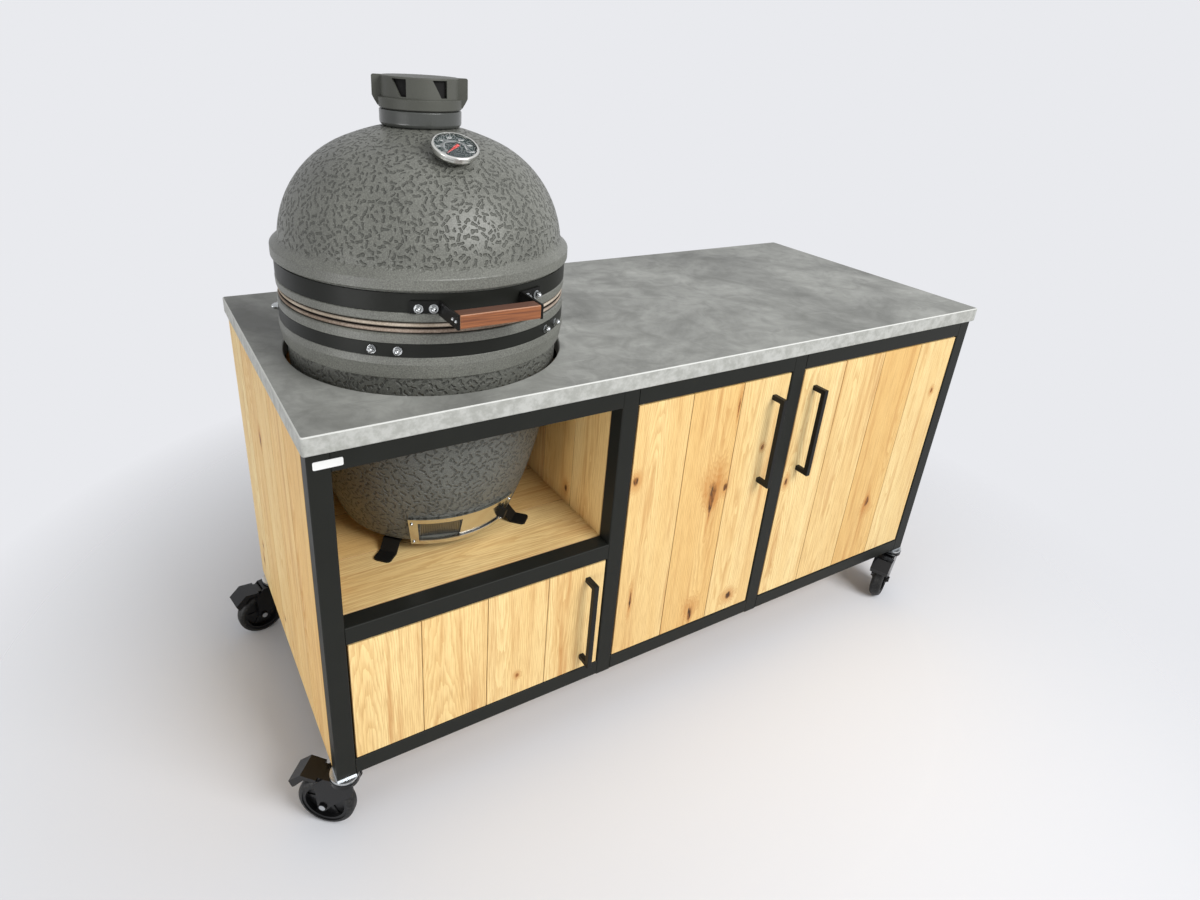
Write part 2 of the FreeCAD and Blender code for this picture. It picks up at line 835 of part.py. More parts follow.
def ash_mesh():
    width = port_width - 2 * seat_gap
    height = port_height - 2 * seat_gap
    outer = Part.makePolygon([Vector(-width / 2, 0, -height / 2), Vector(width / 2, 0, -height / 2),
                              Vector(width / 2, 0, height / 2), Vector(-width / 2, 0, height / 2),
                              Vector(-width / 2, 0, -height / 2)])
    step_x = (width - mesh_wire) / mesh_columns
    step_z = (height - mesh_wire) / mesh_rows
    gaps = []
    for i in range(mesh_columns):
        x0 = -width / 2 + mesh_wire + i * step_x
        x1 = x0 + step_x - mesh_wire
        for j in range(mesh_rows):
            z0 = -height / 2 + mesh_wire + j * step_z
            z1 = z0 + step_z - mesh_wire
            gaps.append(Part.makePolygon([Vector(x0, 0, z0), Vector(x1, 0, z0), Vector(x1, 0, z1),
                                          Vector(x0, 0, z1), Vector(x0, 0, z0)]))
    net = Part.makeFace([outer] + gaps, "Part::FaceMakerBullseye")
    net = net.extrude(Vector(0, mesh_thick, 0)).translated(Vector(0, mesh_depth, 0))
    net.Placement = port_place().multiply(net.Placement)
    return net


def kamado_feet():
    t = foot_plate
    top = belly_bottom
    inner, knee, ankle, toe = heel.x - foot_inner, heel.x - foot_knee, heel.x + foot_ankle, heel.x + foot_toe
    section = [(inner, top), (inner, top - t), (knee, top - t), (ankle - 2, 0),
               (toe, 0), (toe, t), (ankle, t), (knee + 2, top)]
    corners = [Vector(-foot_width / 2, -r, z) for r, z in section]
    foot = prism(corners, Vector(foot_width, 0, 0))
    toe_edges = [e for e in foot.Edges if e.BoundBox.YMax < 1 - toe and e.BoundBox.XLength < 1]
    foot = foot.makeFillet(foot_round, toe_edges)
    return [around(foot, a) for a in foot_angles]


def firebox():
    low = belly_bottom + base_floor + fire_floor_gap
    w = firebox_wall
    top = band_seat_radius - firebox_inset
    foot = heel.x - firebox_foot_inset
    hole = heel.x - firebox_hole_inset
    face = outline(Vector(hole, 0, low), Vector(foot, 0, low),
                   Vector(top, 0, firebox_top), Vector(top - w, 0, firebox_top),
                   Vector(foot - w / 2, 0, firebox_ledge), Vector(hole, 0, firebox_ledge))
    body = turned(face)
    half = port_width / 4
    tunnel = box(-half, -top, low, half, 0, firebox_ledge - w / 2)
    return body.cut(around(tunnel, port_angle))


def fire_ring():
    outer = band_seat_radius - fire_ring_inset
    return ring(outer - fire_ring_wall, outer, firebox_top + fire_floor_gap, fire_ring_top)


def grate(radius, low):
    outer = Part.Wire(Part.makeCircle(radius, Vector(0, 0, low)))
    slots = []
    pitch = grate_slot + grate_bar
    reach = radius - grate_rim
    count = int((reach - grate_slot) / pitch)
    for i in range(-count, count + 1):
        for side in (-1, 1):
            x0, x1 = i * pitch - grate_slot / 2, i * pitch + grate_slot / 2
            far = math.sqrt(reach ** 2 - max(abs(x0), abs(x1)) ** 2)
            y0, y1 = sorted((side * grate_bar / 2, side * far))
            if y1 - y0 > grate_slot:
                slots.append(Part.makePolygon([Vector(x0, y0, low), Vector(x1, y0, low),
                                               Vector(x1, y1, low), Vector(x0, y1, low),
                                               Vector(x0, y0, low)]))
    return Part.makeFace([outer] + slots, "Part::FaceMakerBullseye").extrude(axis_up * grate_thick)


def charcoal_grate():
    return grate(heel.x - charcoal_grate_inset, firebox_ledge + fire_floor_gap)


def cooking_grate():
    return grate(band_seat_radius - cooking_grate_inset, fire_ring_top + fire_floor_gap)


def band(low, high):
    inner = band_seat_radius
    return ring(inner, inner + band_thick, low + fit_gap, high - fit_gap)


def handle_bracket():
    seat = band_seat_radius + band_thick + fit_gap / 2
    low = bracket_middle - bracket_height / 2
    high = low + bracket_height
    arm_in = grip_length / 2
    arm_out = arm_in + bracket_thick
    inner_angle = math.degrees(math.asin(arm_in / seat))
    front = -(grip_middle() + grip_depth / 2)
    flange_low = lid_band_low + fit_gap
    lip_clear = rim_radius + lip_slope + fit_gap
    made = []
    for side in (-1, 1):
        ends = sorted((side * inner_angle, side * bracket_end_angle))
        flange = ring(seat, seat + bracket_thick, flange_low, high, *ends)
        x0, x1 = sorted((side * arm_in, side * arm_out))
        arm = box(x0, front, low, x1, -seat * math.cos(math.radians(inner_angle)) + bracket_thick, high)
        arm = arm.cut(ring(0.1, seat, low - 1, high + 1))
        arm = arm.cut(ring(0.1, lip_clear, low - 1, flange_low))
        made.append(flange.fuse(arm).removeSplitter())
    return made


def grip_middle():
    seat = band_seat_radius + band_thick + fit_gap / 2
    return seat + grip_from_band + grip_depth / 2


def handle_grip():
    half = grip_length / 2
    middle = -grip_middle()
    low = bracket_middle - grip_height / 2
    grip = box(-half, middle - grip_depth / 2, low, half, middle + grip_depth / 2, low + grip_height)
    return grip.makeFillet(grip_round, grip.Edges)


def lid_fasteners():
    seat = band_seat_radius + band_thick + bracket_thick + fit_gap
    made = [dome_nut(seat, bracket_middle, a) for a in lid_bolt_angles]
    middle = (lid_band_low + lid_band_high) / 2
    made += [dome_nut(seat, middle, 180 + a) for a in (-hinge_bolt_angle, hinge_bolt_angle)]
    face = grip_length / 2 + bracket_thick
    for side in (-1, 1):
        for step in (-1, 1):
            spot = Vector(side * face, -grip_middle() + step * grip_depth / 4, bracket_middle)
            made.append(Part.makeSphere(grip_screw_radius, spot, Vector(side, 0, 0), 0, 90, 360))
    return made


def hinge_axis():
    return Vector(0, band_seat_radius + band_thick + hinge_back, hinge_height)


def web_ends(x_out, edge, rise):
    # Both ends of the bracket's outer web, seen from the side: at the band and at the eye.
    axis = hinge_axis()
    seat = band_seat_radius + band_thick + fit_gap / 2
    near = seat * math.cos(math.asin(x_out / seat)) + 1
    at_eye = Vector(0, axis.y, axis.z + rise * (hinge_eye + web_gap))
    return near, Vector(0, near + hinge_eye, edge), at_eye


def web_normal(at_band, at_eye):
    run = (at_eye - at_band).normalize()
    normal = Vector(0, run.z, -run.y)
    return normal if normal.y > 0 else normal * -1


def hinge_bracket(x_out, low, high, rise, bore):
    # Curved plate on the band, two ears to the pin and a web that joins the ears.
    seat = band_seat_radius + band_thick + fit_gap / 2
    axis = hinge_axis()
    across = Vector(1, 0, 0)
    plate = ring(seat, seat + hinge_plate, low, high, 180 - hinge_half_angle, 180 + hinge_half_angle)
    edge, inner_edge = (high, low) if rise > 0 else (low, high)
    near, at_band, at_eye = web_ends(x_out, edge, rise)
    inset = web_normal(at_band, at_eye) * -hinge_plate
    web = prism([v + Vector(-x_out, 0, 0) for v in (at_band, at_eye, at_eye + inset, at_band + inset)],
                across * (2 * x_out))
    parts = [web]
    for x0 in (-x_out, x_out - hinge_plate):
        side = prism([Vector(x0, near, edge), Vector(x0, near, inner_edge),
                      Vector(x0, axis.y - hinge_eye, axis.z), Vector(x0, at_eye.y, at_eye.z),
                      Vector(x0, at_band.y, at_band.z)], across * hinge_plate)
        parts.append(side.fuse(rod(Vector(x0, axis.y, axis.z), hinge_eye, hinge_plate, across)))
    body = parts[0].fuse(parts[1:])
    body = body.cut(ring(0.1, seat, low - hinge_eye, high + hinge_eye))
    lip_clear = rim_radius + lip_slope + fit_gap
    body = body.cut(ring(0.1, lip_clear, *sorted((inner_edge, inner_edge - rise * hinge_eye))))
    body = body.cut(rod(Vector(-x_out, axis.y, axis.z), bore, 2 * x_out, across))
    return plate.fuse(body).removeSplitter()


def hinge_base_bracket():
    return hinge_bracket(base_ear_out, base_band_low + fit_gap, base_band_high - fit_gap, -1,
                         hinge_pin_radius)


def hinge_lid_bracket():
    return hinge_bracket(lid_ear_out, lid_band_low + fit_gap, lid_band_high - fit_gap, 1,
                         hinge_pin_radius + running_fit)


def biarc(p, t, q, u):
    # Two arcs from p, heading t, to q, heading u, that meet without a corner.
    v = q - p
    both = v.dot(t + u)
    turn = 2 * (1 - t.dot(u))
    reach = (math.sqrt(both ** 2 + turn * v.dot(v)) - both) / turn
    meet = (p + q + (t - u) * reach) * 0.5
    first = smooth_arc(p, t, meet)
    return [first.toShape(), smooth_arc(meet, first.tangent(first.LastParameter)[0], q).toShape()]


def leg_end(x_out, edge, rise):
    # Centre of the wire where a spring leg bears on the inside of a web, seen from the pin.
    near, at_band, at_eye = web_ends(x_out, edge, rise)
    inset = web_normal(at_band, at_eye) * -(hinge_plate + spring_wire / 2 + fit_gap)
    return at_eye + (at_band - at_eye) * spring_leg_share + inset - hinge_axis()


def hinge_spring(side):
    axis = hinge_axis()
    base_leg = leg_end(base_ear_out, base_band_low + fit_gap, -1)
    lid_leg = leg_end(lid_ear_out, lid_band_high - fit_gap, 1)
    base_length = math.sqrt(base_leg.Length ** 2 - spring_radius ** 2)
    lid_length = math.sqrt(lid_leg.Length ** 2 - spring_radius ** 2)
    start = math.atan2(base_leg.z, base_leg.y) - math.atan2(base_length, spring_radius)
    end = math.atan2(lid_leg.z, lid_leg.y) + math.atan2(lid_length, spring_radius)
    sweep = (start - end) % (2 * math.pi) + 2 * math.pi * spring_full_turns
    climb = spring_pitch / (2 * math.pi)

    def spot(a):
        out = Vector(0, math.cos(start - a), math.sin(start - a)) * spring_radius
        return axis + out + Vector(side * (spring_from_middle + climb * a), 0, 0)

    def heading(a):
        along = Vector(0, math.sin(start - a), -math.cos(start - a)) * spring_radius
        return (along + Vector(side * climb, 0, 0)).normalize()

    steps = 4 * (spring_full_turns + 1)
    angles = [sweep * i / steps for i in range(steps + 1)]
    foot = spot(0) - heading(0) * base_length
    edges = [Part.makeLine(foot, spot(0))]
    for a, b in zip(angles, angles[1:]):
        edges += biarc(spot(a), heading(a), spot(b), heading(b))
    edges.append(Part.makeLine(spot(sweep), spot(sweep) + heading(sweep) * lid_length))
    wire = Part.Wire(edges)
    section = Part.Wire(Part.makeCircle(spring_wire / 2, foot, heading(0)))
    return wire.makePipeShell([section], True)


def hinge_pin():
    axis = hinge_axis()
    half = base_ear_out
    across = Vector(1, 0, 0)
    pin = rod(axis - across * half, hinge_pin_radius, 2 * half, across)
    for x in (-half - pin_head, half):
        pin = pin.fuse(rod(axis + across * x, hinge_pin_radius + 3, pin_head, across))
    return pin


def vent_collar():
    spigot = flue_radius - fit_gap
    inner = sleeve_outer - sleeve_wall
    face = outline(
        Vector(spigot - sleeve_wall, 0, spigot_low), Vector(spigot, 0, spigot_low),
        Vector(spigot, 0, collar_foot.z), (collar_foot, collar_round), (collar_top, cap_round),
        Vector(sleeve_outer, 0, collar_top.z), Vector(sleeve_outer, 0, sleeve_top),
        Vector(inner, 0, sleeve_top), Vector(inner, 0, collar_foot.z + 2 * sleeve_wall),
        Vector(spigot - sleeve_wall, 0, collar_foot.z),
    )
    body = turned(face)
    for angle in cap_window_angles:
        # Open once the cap has turned this far.
        middle = angle + cap_turn
        body = body.cut(ring(inner - 2, sleeve_outer + 2, window_low, window_high,
                             middle - sleeve_window / 2, middle + sleeve_window / 2))
    return body


def vent_cap():
    hub = sleeve_outer + cap_fit
    hub_outer = hub + cap_hub_wall
    base = collar_top.z + cap_fit
    ring_round = cap_round / 2
    face = outline(
        Vector(0, 0, cap_top + cap_crown), (Vector(cap_wall_outer, 0, cap_top), cap_round),
        Vector(cap_wall_outer, 0, cap_ring_top + ring_round),
        (Vector(cap_ring_radius, 0, cap_ring_top), ring_round),
        (Vector(cap_ring_radius - cap_ring_draft, 0, cap_bottom), ring_round),
        Vector(hub_outer, 0, cap_bottom), Vector(hub_outer, 0, base),
        Vector(hub, 0, base), Vector(hub, 0, cap_ring_top - cap_round), Vector(cap_wall_inner, 0, cap_ring_top),
        Vector(cap_wall_inner, 0, cap_ceiling), Vector(0, 0, cap_ceiling + cap_crown / 2),
    )
    cap = turned(face)
    root = cap_wall_outer - cap_wall / 2
    start = cap_bottom + cap_round
    waist = (cap_ring_radius + cap_round + cap_lug_reach) / 2
    for angle in cap_lug_angles:
        lug = prism([
            Vector(0, -root, start), Vector(0, -cap_ring_radius, start),
            Vector(0, -waist, cap_bottom + cap_lug_waist), Vector(0, -cap_lug_reach, cap_bottom + cap_lug_taper),
            Vector(0, -cap_lug_reach, cap_top), Vector(0, -root, cap_top)], Vector(cap_lug_width, 0, 0))
        corner = [e for e in lug.Edges
                  if e.BoundBox.YMax < 1 - cap_lug_reach and e.BoundBox.ZMin > cap_top - 1]
        lug = lug.makeFillet(cap_lug_round, corner)
        lug.translate(Vector(-cap_lug_width / 2, 0, 0))
        cap = cap.fuse(around(lug, angle))
    half = cap_window_top / 2
    foot = half - cap_window_foot
    for angle in cap_window_angles:
        corners = [(half, window_high), (-half, window_high), (foot, window_low), (half, window_low)]
        opening = prism([Vector(x, -cap_ring_radius, z) for x, z in corners],
                        Vector(0, cap_ring_radius - cap_wall_inner + 2 * cap_wall, 0))
        cap = cap.cut(around(opening, angle))
    return cap.removeSplitter()


def thermometer_solid(face):
    seat, out = thermometer_seat()
    body = face.revolve(Vector(), axis_up, 360)
    body.Placement = FreeCAD.Placement(seat, FreeCAD.Rotation(axis_up, out))
    return body


def thermometer_case():
    top = case_height
    inner = dial_radius
    body = case_radius - case_body_inset
    groove = top - bezel_groove
    face = outline(
        Vector(0, 0, -stem_length), Vector(stem_radius - 1, 0, -stem_length),
        Vector(stem_radius, 0, 1 - stem_length),
        Vector(stem_radius, 0, case_foot_height), Vector(case_foot, 0, case_foot_height),
        Vector(case_foot, 0, top - bezel_height - 2),
        (Vector(body, 0, top - bezel_height), case_body_round),
        Vector(body, 0, groove - 1), Vector(body - 1, 0, groove),
        (Vector(case_radius, 0, groove), case_body_inset / 2), (Vector(case_radius, 0, top), case_body_inset),
        Vector(inner, 0, top),
        Vector(inner, 0, top - dial_depth - 1), Vector(0, 0, top - dial_depth - 1),
    )
    return thermometer_solid(face)


def thermometer_dial():
    low = case_height - dial_depth - 1 + fit_gap
    return thermometer_solid(outline(Vector(0, 0, low), Vector(dial_radius - fit_gap, 0, low),
                                     Vector(dial_radius - fit_gap, 0, low + 0.8), Vector(0, 0, low + 0.8)))


def thermometer_glass():
    low = case_height - glass_thick - 0.6
    return thermometer_solid(outline(Vector(0, 0, low), Vector(dial_radius - fit_gap, 0, low),
                                     Vector(dial_radius - fit_gap, 0, low + glass_thick),
                                     Vector(0, 0, low + glass_thick)))


def thermometer_pointer():
    low = case_height - dial_depth + 0.3
    hub = rod(Vector(0, 0, low), pointer_radius, 1.5 * pointer_thick)
    blade = prism([Vector(-pointer_radius, -pointer_tail, low), Vector(0, pointer_length, low),
                   Vector(pointer_radius, -pointer_tail, low)], axis_up * pointer_thick)
    pointer = hub.fuse(blade).removeSplitter()
    pointer.rotate(Vector(), axis_up, pointer_angle)
    seat, out = thermometer_seat()
    pointer.Placement = FreeCAD.Placement(seat, FreeCAD.Rotation(axis_up, out)).multiply(pointer.Placement)
    return pointer


def caster_places():
    # Front casters sit under the middle of their posts, rear ones under the frame's corners.
    half = tube / 2
    far_y = rear_post_face + half
    return {"front_left": Vector(half, half, 0),
            "front_right": Vector(frame_length - half, half, 0),
            "rear_left": Vector(half, far_y, 0),
            "rear_right": Vector(frame_length - half, far_y, 0)}


def caster_mounts():
    made = []
    for place in caster_places().values():
        plate = box(-tube / 2, -tube / 2, -caster_plate, tube / 2, tube / 2, 0)
        race_low = -caster_plate - race_height
        fixed = plate.fuse(rod(Vector(0, 0, race_low), race_radius, race_height))
        pin_low = -fork_head_low - seat_gap
        fixed = fixed.fuse(rod(Vector(0, 0, pin_low), kingpin_radius, race_low - pin_low))
        nut = rod(Vector(0, 0, pin_low - 6), kingpin_radius + 4, 6)
        fixed = fixed.fuse(nut).removeSplitter()
        made.append(fixed.translated(place))
    return made


def axle_height():
    return -(caster_height - wheel_radius)


def set_caster(shape, name):
    turned_shape = shape.rotated(Vector(), axis_up, caster_angles[name])
    return turned_shape.translated(caster_places()[name])


def fork(name):
    # The wheel trails along local X; the two legs stand beside it.
    t = caster_trail
    axle = axle_height()
    top = -(caster_plate + race_height + seat_gap)
    low = -fork_head_low
    b = fork_boss
    c = fork_boss * 0.7
    leg_corners = [(-26, top - 2), (38, top - 2), (62, -36), (58, -54), (t + b, axle), (t + c, axle - c),
                   (t, axle - b), (t - c, axle - c), (t - b, axle), (-20, -48), (-28, -30)]
    half = fork_inner + fork_plate
    body = rod(Vector(0, 0, low), fork_head_radius, top - low)
    body = body.fuse(box(-26, -half, low, 38, half, top - 2))
    for y in (-half, fork_inner):
        leg = prism([Vector(x, y, z) for x, z in leg_corners], Vector(0, fork_plate, 0))
        body = body.fuse(leg)
    body = body.cut(rod(Vector(0, 0, low - 1), kingpin_radius + running_fit, top - low + 2))
    bore = rod(Vector(t, -half - 1, axle), axle_radius, 2 * half + 2, Vector(0, 1, 0))
    body = body.cut(bore)
    pin_spot = pedal_pin() - Vector(0, half, 0)
    pin_bore = rod(pin_spot, pedal_pin_radius, 2 * half, Vector(0, 1, 0))
    body = body.cut(pin_bore).removeSplitter()
    axle_bolt = rod(Vector(t, -half - 3, axle), axle_radius, 2 * half + 6, Vector(0, 1, 0))
    for y in (-half - 4, half):
        axle_bolt = axle_bolt.fuse(rod(Vector(t, y, axle), axle_head_radius, 4, Vector(0, 1, 0)))
    pin = rod(pin_spot, pedal_pin_radius, 2 * half, Vector(0, 1, 0))
    return [set_caster(s, name) for s in (body, axle_bolt.removeSplitter(), pin)]


def pedal_pin():
    return Vector(46.0, 0, -26.0)


def wheel(name):
    t = caster_trail
    rim_outer = wheel_radius - tyre_depth
    rim_inner = rim_outer - wheel_rim
    centre = Vector(t, 0, axle_height())
    across = Vector(0, 1, 0)

    def disc(radius, width):
        return rod(centre - across * (width / 2), radius, width, across)

    hub = disc(hub_radius, hub_width)
    rim = disc(rim_outer, rim_width).cut(disc(rim_inner, rim_width + 2))
    core = hub.fuse(rim).fuse(disc(rim_inner + wheel_rim / 2, wheel_web))
    for i in range(wheel_spokes):
        spoke = box(0, -web_width / 2, -spoke_width / 2,
                    rim_inner + wheel_rim / 2, web_width / 2, spoke_width / 2)
        spoke.rotate(Vector(), across, i * 360 / wheel_spokes)
        core = core.fuse(spoke.translated(centre))
    core = core.cut(disc(axle_radius + running_fit, hub_width + 2)).removeSplitter()
    tyre = disc(wheel_radius, wheel_width)
    tyre = tyre.makeFillet(tyre_round, tyre.Edges[:1] + tyre.Edges[2:3])
    tyre = tyre.cut(disc(rim_outer, wheel_width + 2))
    return [set_caster(s, name) for s in (core, tyre)]


def pedal(name):
    pin = pedal_pin()
    half = pedal_half_width
    corners = [(40, -17), (86, -10), (114, -34), (107, -50), (101, -46), (80, -23), (60, -22), (40, -22)]
    top = prism([Vector(x, -half, z) for x, z in corners], Vector(0, 2 * half, 0))
    inner = fork_inner - 1
    lug = box(pin.x - 6, -inner, pin.z - 6, pin.x + 6, inner, -18)
    gap = box(pin.x - 8, -inner + 5, pin.z - 8, pin.x + 8, inner - 5, -22)
    lug = lug.cut(gap)
    for x, z in ((68, -22.4), (52, 0)):
        clear = box(0, fork_inner - 0.5, -60, x, half + 1, z)
        top = top.cut(clear).cut(clear.mirror(Vector(), Vector(0, 1, 0)))
    body = top.fuse(lug)
    bore = rod(pin - Vector(0, half, 0), pedal_pin_radius + running_fit, 2 * half, Vector(0, 1, 0))
    body = body.cut(bore)
    return [set_caster(body.removeSplitter(), name)]


nodes = {
    "posts": posts(),
    "rails": rails(),
    "left_side_boards": side_cladding(0),
    "right_side_boards": side_cladding(frame_length - board),
    "rear_boards": rear_cladding(),
    "inner_wall_boards": inner_walls(),
    "shelf_boards": shelf(),
    "cabinet_floor_boards": cabinet_floors(),
    "worktop": [worktop()],
    "name_plate": [name_plate()],
    "door_pivot_pins": [pin for d in doors for pin in d.pins()],
    "door_magnets": [d.catch() for d in doors],
    "caster_mounts": caster_mounts(),
}
for d in doors:
    nodes[d.name] = d.leaf()
    nodes[d.name + "_handle"] = [d.handle()]
for name in caster_angles:
    nodes["caster_fork_" + name] = fork(name)
    nodes["caster_wheel_" + name] = wheel(name)
    nodes["caster_pedal_" + name] = pedal(name)
kamado_nodes = {
    "base_shell": [base_shell()],
    "base_gasket": [gasket(base_rim + fit_gap, (base_rim + lid_rim - gasket_gap) / 2)],
    "base_band": [band(base_band_low, base_band_high)],
    "base_fasteners": base_fasteners(),
    "kamado_feet": kamado_feet(),
    "firebox": [firebox()],
    "fire_ring": [fire_ring()],
    "charcoal_grate": [charcoal_grate()],
    "cooking_grate": [cooking_grate()],
    "draft_frame": [draft_frame()],
    "draft_door": [draft_door()],
    "draft_door_tab": [draft_door_tab()],
    "ash_mesh": [ash_mesh()],
    "hinge_base_bracket": [hinge_base_bracket()],
    "hinge_pin": [hinge_pin()],
    "hinge_springs": [hinge_spring(-1), hinge_spring(1)],
    "lid_shell": [lid_shell()],
    "lid_gasket": [gasket((base_rim + lid_rim + gasket_gap) / 2, lid_rim - fit_gap)],
    "lid_band": [band(lid_band_low, lid_band_high)],
    "lid_fasteners": lid_fasteners(),
    "handle_bracket": handle_bracket(),
    "handle_grip": [handle_grip()],
    "hinge_lid_bracket": [hinge_lid_bracket()],
    "vent_collar": [vent_collar()],
    "vent_cap": [vent_cap()],
    "thermometer_case": [thermometer_case()],
    "thermometer_dial": [thermometer_dial()],
    "thermometer_glass": [thermometer_glass()],
    "thermometer_pointer": [thermometer_pointer()],
}
for name, shapes in kamado_nodes.items():
    nodes[name] = [at_kamado(s) for s in shapes]

whole = Part.makeCompound([s for shapes in nodes.values() for s in shapes]).optimalBoundingBox(False)
shift = Vector(-(whole.XMin + whole.XMax) / 2, -(whole.YMin + whole.YMax) / 2, caster_height)
os.makedirs("parts", exist_ok=True)
for name, shapes in nodes.items():
    shape = shapes[0] if len(shapes) == 1 else Part.makeCompound(shapes)
    shape.translated(shift).exportStep("parts/" + name + ".step")

print("least gap between spring turns", round(spring_pitch * math.cos(math.atan(
    spring_pitch / (2 * math.pi * spring_radius))) - spring_wire, 3))
seat, out = thermometer_seat()
print("origin shift", [round(v, 3) for v in shift], "nodes", len(nodes))
print("kamado axis", [round(v, 3) for v in Vector(kamado_x, kamado_y, shelf_top) + shift])
print("lid hinge", [round(v, 3) for v in hinge_axis() + Vector(kamado_x, kamado_y, shelf_top) + shift])
print("thermometer", [round(v, 4) for v in seat + Vector(kamado_x, kamado_y, shelf_top) + shift],
      [round(v, 5) for v in out])
for d in doors:
    print(d.name, "pivot", [round(v, 3) for v in Vector(d.pivot_x, d.pivot_y, 0) + shift])
for name, place in caster_places().items():
    turn = FreeCAD.Rotation(axis_up, caster_angles[name])
    wheel_at = place + turn.multVec(Vector(caster_trail, 0, axle_height())) + shift
    pedal_at = place + turn.multVec(pedal_pin()) + shift
    side = turn.multVec(Vector(0, 1, 0))
    print(name, "swivel", [round(v, 3) for v in place + shift], "wheel", [round(v, 3) for v in wheel_at],
          "pedal", [round(v, 3) for v in pedal_at], "axis", [round(v, 5) for v in side])
print("size", [round(v, 2) for v in (whole.XLength, whole.YLength, whole.ZLength)])
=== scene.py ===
import bpy
import json
import math
import random
from mathutils import Matrix, Vector


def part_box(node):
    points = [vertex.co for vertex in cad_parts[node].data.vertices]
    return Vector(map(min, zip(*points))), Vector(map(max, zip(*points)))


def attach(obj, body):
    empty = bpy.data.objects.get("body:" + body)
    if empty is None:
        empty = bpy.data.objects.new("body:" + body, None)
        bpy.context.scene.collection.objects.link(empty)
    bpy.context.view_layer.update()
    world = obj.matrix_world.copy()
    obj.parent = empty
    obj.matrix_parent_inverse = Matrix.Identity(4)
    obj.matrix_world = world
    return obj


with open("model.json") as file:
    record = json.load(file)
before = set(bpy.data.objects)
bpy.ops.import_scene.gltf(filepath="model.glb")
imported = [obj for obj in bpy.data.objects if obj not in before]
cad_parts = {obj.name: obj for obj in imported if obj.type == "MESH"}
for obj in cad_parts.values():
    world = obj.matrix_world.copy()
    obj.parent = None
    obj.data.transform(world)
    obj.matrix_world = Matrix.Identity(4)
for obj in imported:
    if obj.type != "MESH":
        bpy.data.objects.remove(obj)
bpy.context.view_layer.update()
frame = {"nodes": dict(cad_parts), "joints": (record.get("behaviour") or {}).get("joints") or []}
parts = frame["nodes"]

# Steel frame: posts and rails of welded 40 mm square tube.
# Powder coated near-black; the coat melts to a fine orange peel with a soft, broad shine.


def linear(code):
    # sRGB hex to linear colour
    channels = [int(code[i:i + 2], 16) / 255 for i in (1, 3, 5)]
    return [c / 12.92 if c <= 0.04045 else ((c + 0.055) / 1.055) ** 2.4 for c in channels] + [1.0]


def add(tree, kind, inputs=None, **settings):
    # One node with its settings; an input takes a value, a socket or the first output of a node.
    made = tree.nodes.new(kind)
    for key, value in settings.items():
        setattr(made, key, value)
    for key, value in (inputs or {}).items():
        socket = made.inputs[key] if isinstance(key, int) else next(
            s for s in made.inputs if s.name == key and s.enabled)
        if isinstance(value, bpy.types.Node):
            value = next(s for s in value.outputs if s.enabled)
        if isinstance(value, bpy.types.NodeSocket):
            tree.links.new(value, socket)
        else:
            socket.default_value = value
    return made


def finish(name, colour, roughness, metallic=0.0, **sockets):
    # A new material with the values that are the same all over it; gives its tree and shader too.
    made = bpy.data.materials.new(name)
    made.use_nodes = True
    shader = made.node_tree.nodes["Principled BSDF"]
    shader.inputs["Base Color"].default_value = linear(colour)
    shader.inputs["Roughness"].default_value = roughness
    shader.inputs["Metallic"].default_value = metallic
    for key, value in sockets.items():
        shader.inputs[key.replace("_", " ")].default_value = value
    return made, made.node_tree, shader


def wear(tree, shader, name, value):
    tree.links.new(next(s for s in value.outputs if s.enabled), shader.inputs[name])


def coat(material, *names):
    for name in names:
        for slot in parts[name].material_slots:
            slot.material = material


def painted_steel(name, colour, roughness, spread, peel, shine=0.12):
    # Sprayed coat: tone and shine drift over about 60 mm; the peel is drawn 4 mm wide, as the
    # real 1 mm would not show.
    made, tree, shader = finish(name, colour, roughness, Specular_IOR_Level=shine)
    place = add(tree, "ShaderNodeTexCoord").outputs["Object"]
    cloud = add(tree, "ShaderNodeTexNoise", {"Vector": place, "Scale": 16.0, "Detail": 3.0})
    wear(tree, shader, "Roughness", add(tree, "ShaderNodeMapRange", {
        "Value": cloud, "To Min": roughness - spread, "To Max": roughness + spread}))
    tone = add(tree, "ShaderNodeMapRange", {"Value": cloud, "To Min": 0.86, "To Max": 1.14})
    wear(tree, shader, "Base Color", add(tree, "ShaderNodeVectorMath", {
        0: linear(colour)[:3], "Scale": tone}, operation="SCALE"))
    grain = add(tree, "ShaderNodeTexNoise", {"Vector": place, "Scale": 240.0, "Detail": 2.0})
    wear(tree, shader, "Normal", add(tree, "ShaderNodeBump", {
        "Height": grain, "Strength": peel, "Distance": 0.0004}))
    return made


frame_coat = painted_steel("powder_coat_black", "#21221f", 0.42, 0.08, 0.35)
coat(frame_coat, "posts", "rails")

# Oak cladding, doors, walls, shelf and floors: planed solid boards with chamfered long edges.
# Flat sawn and oiled: pale honey with arched rings, browner streaks and knots, each board its own.


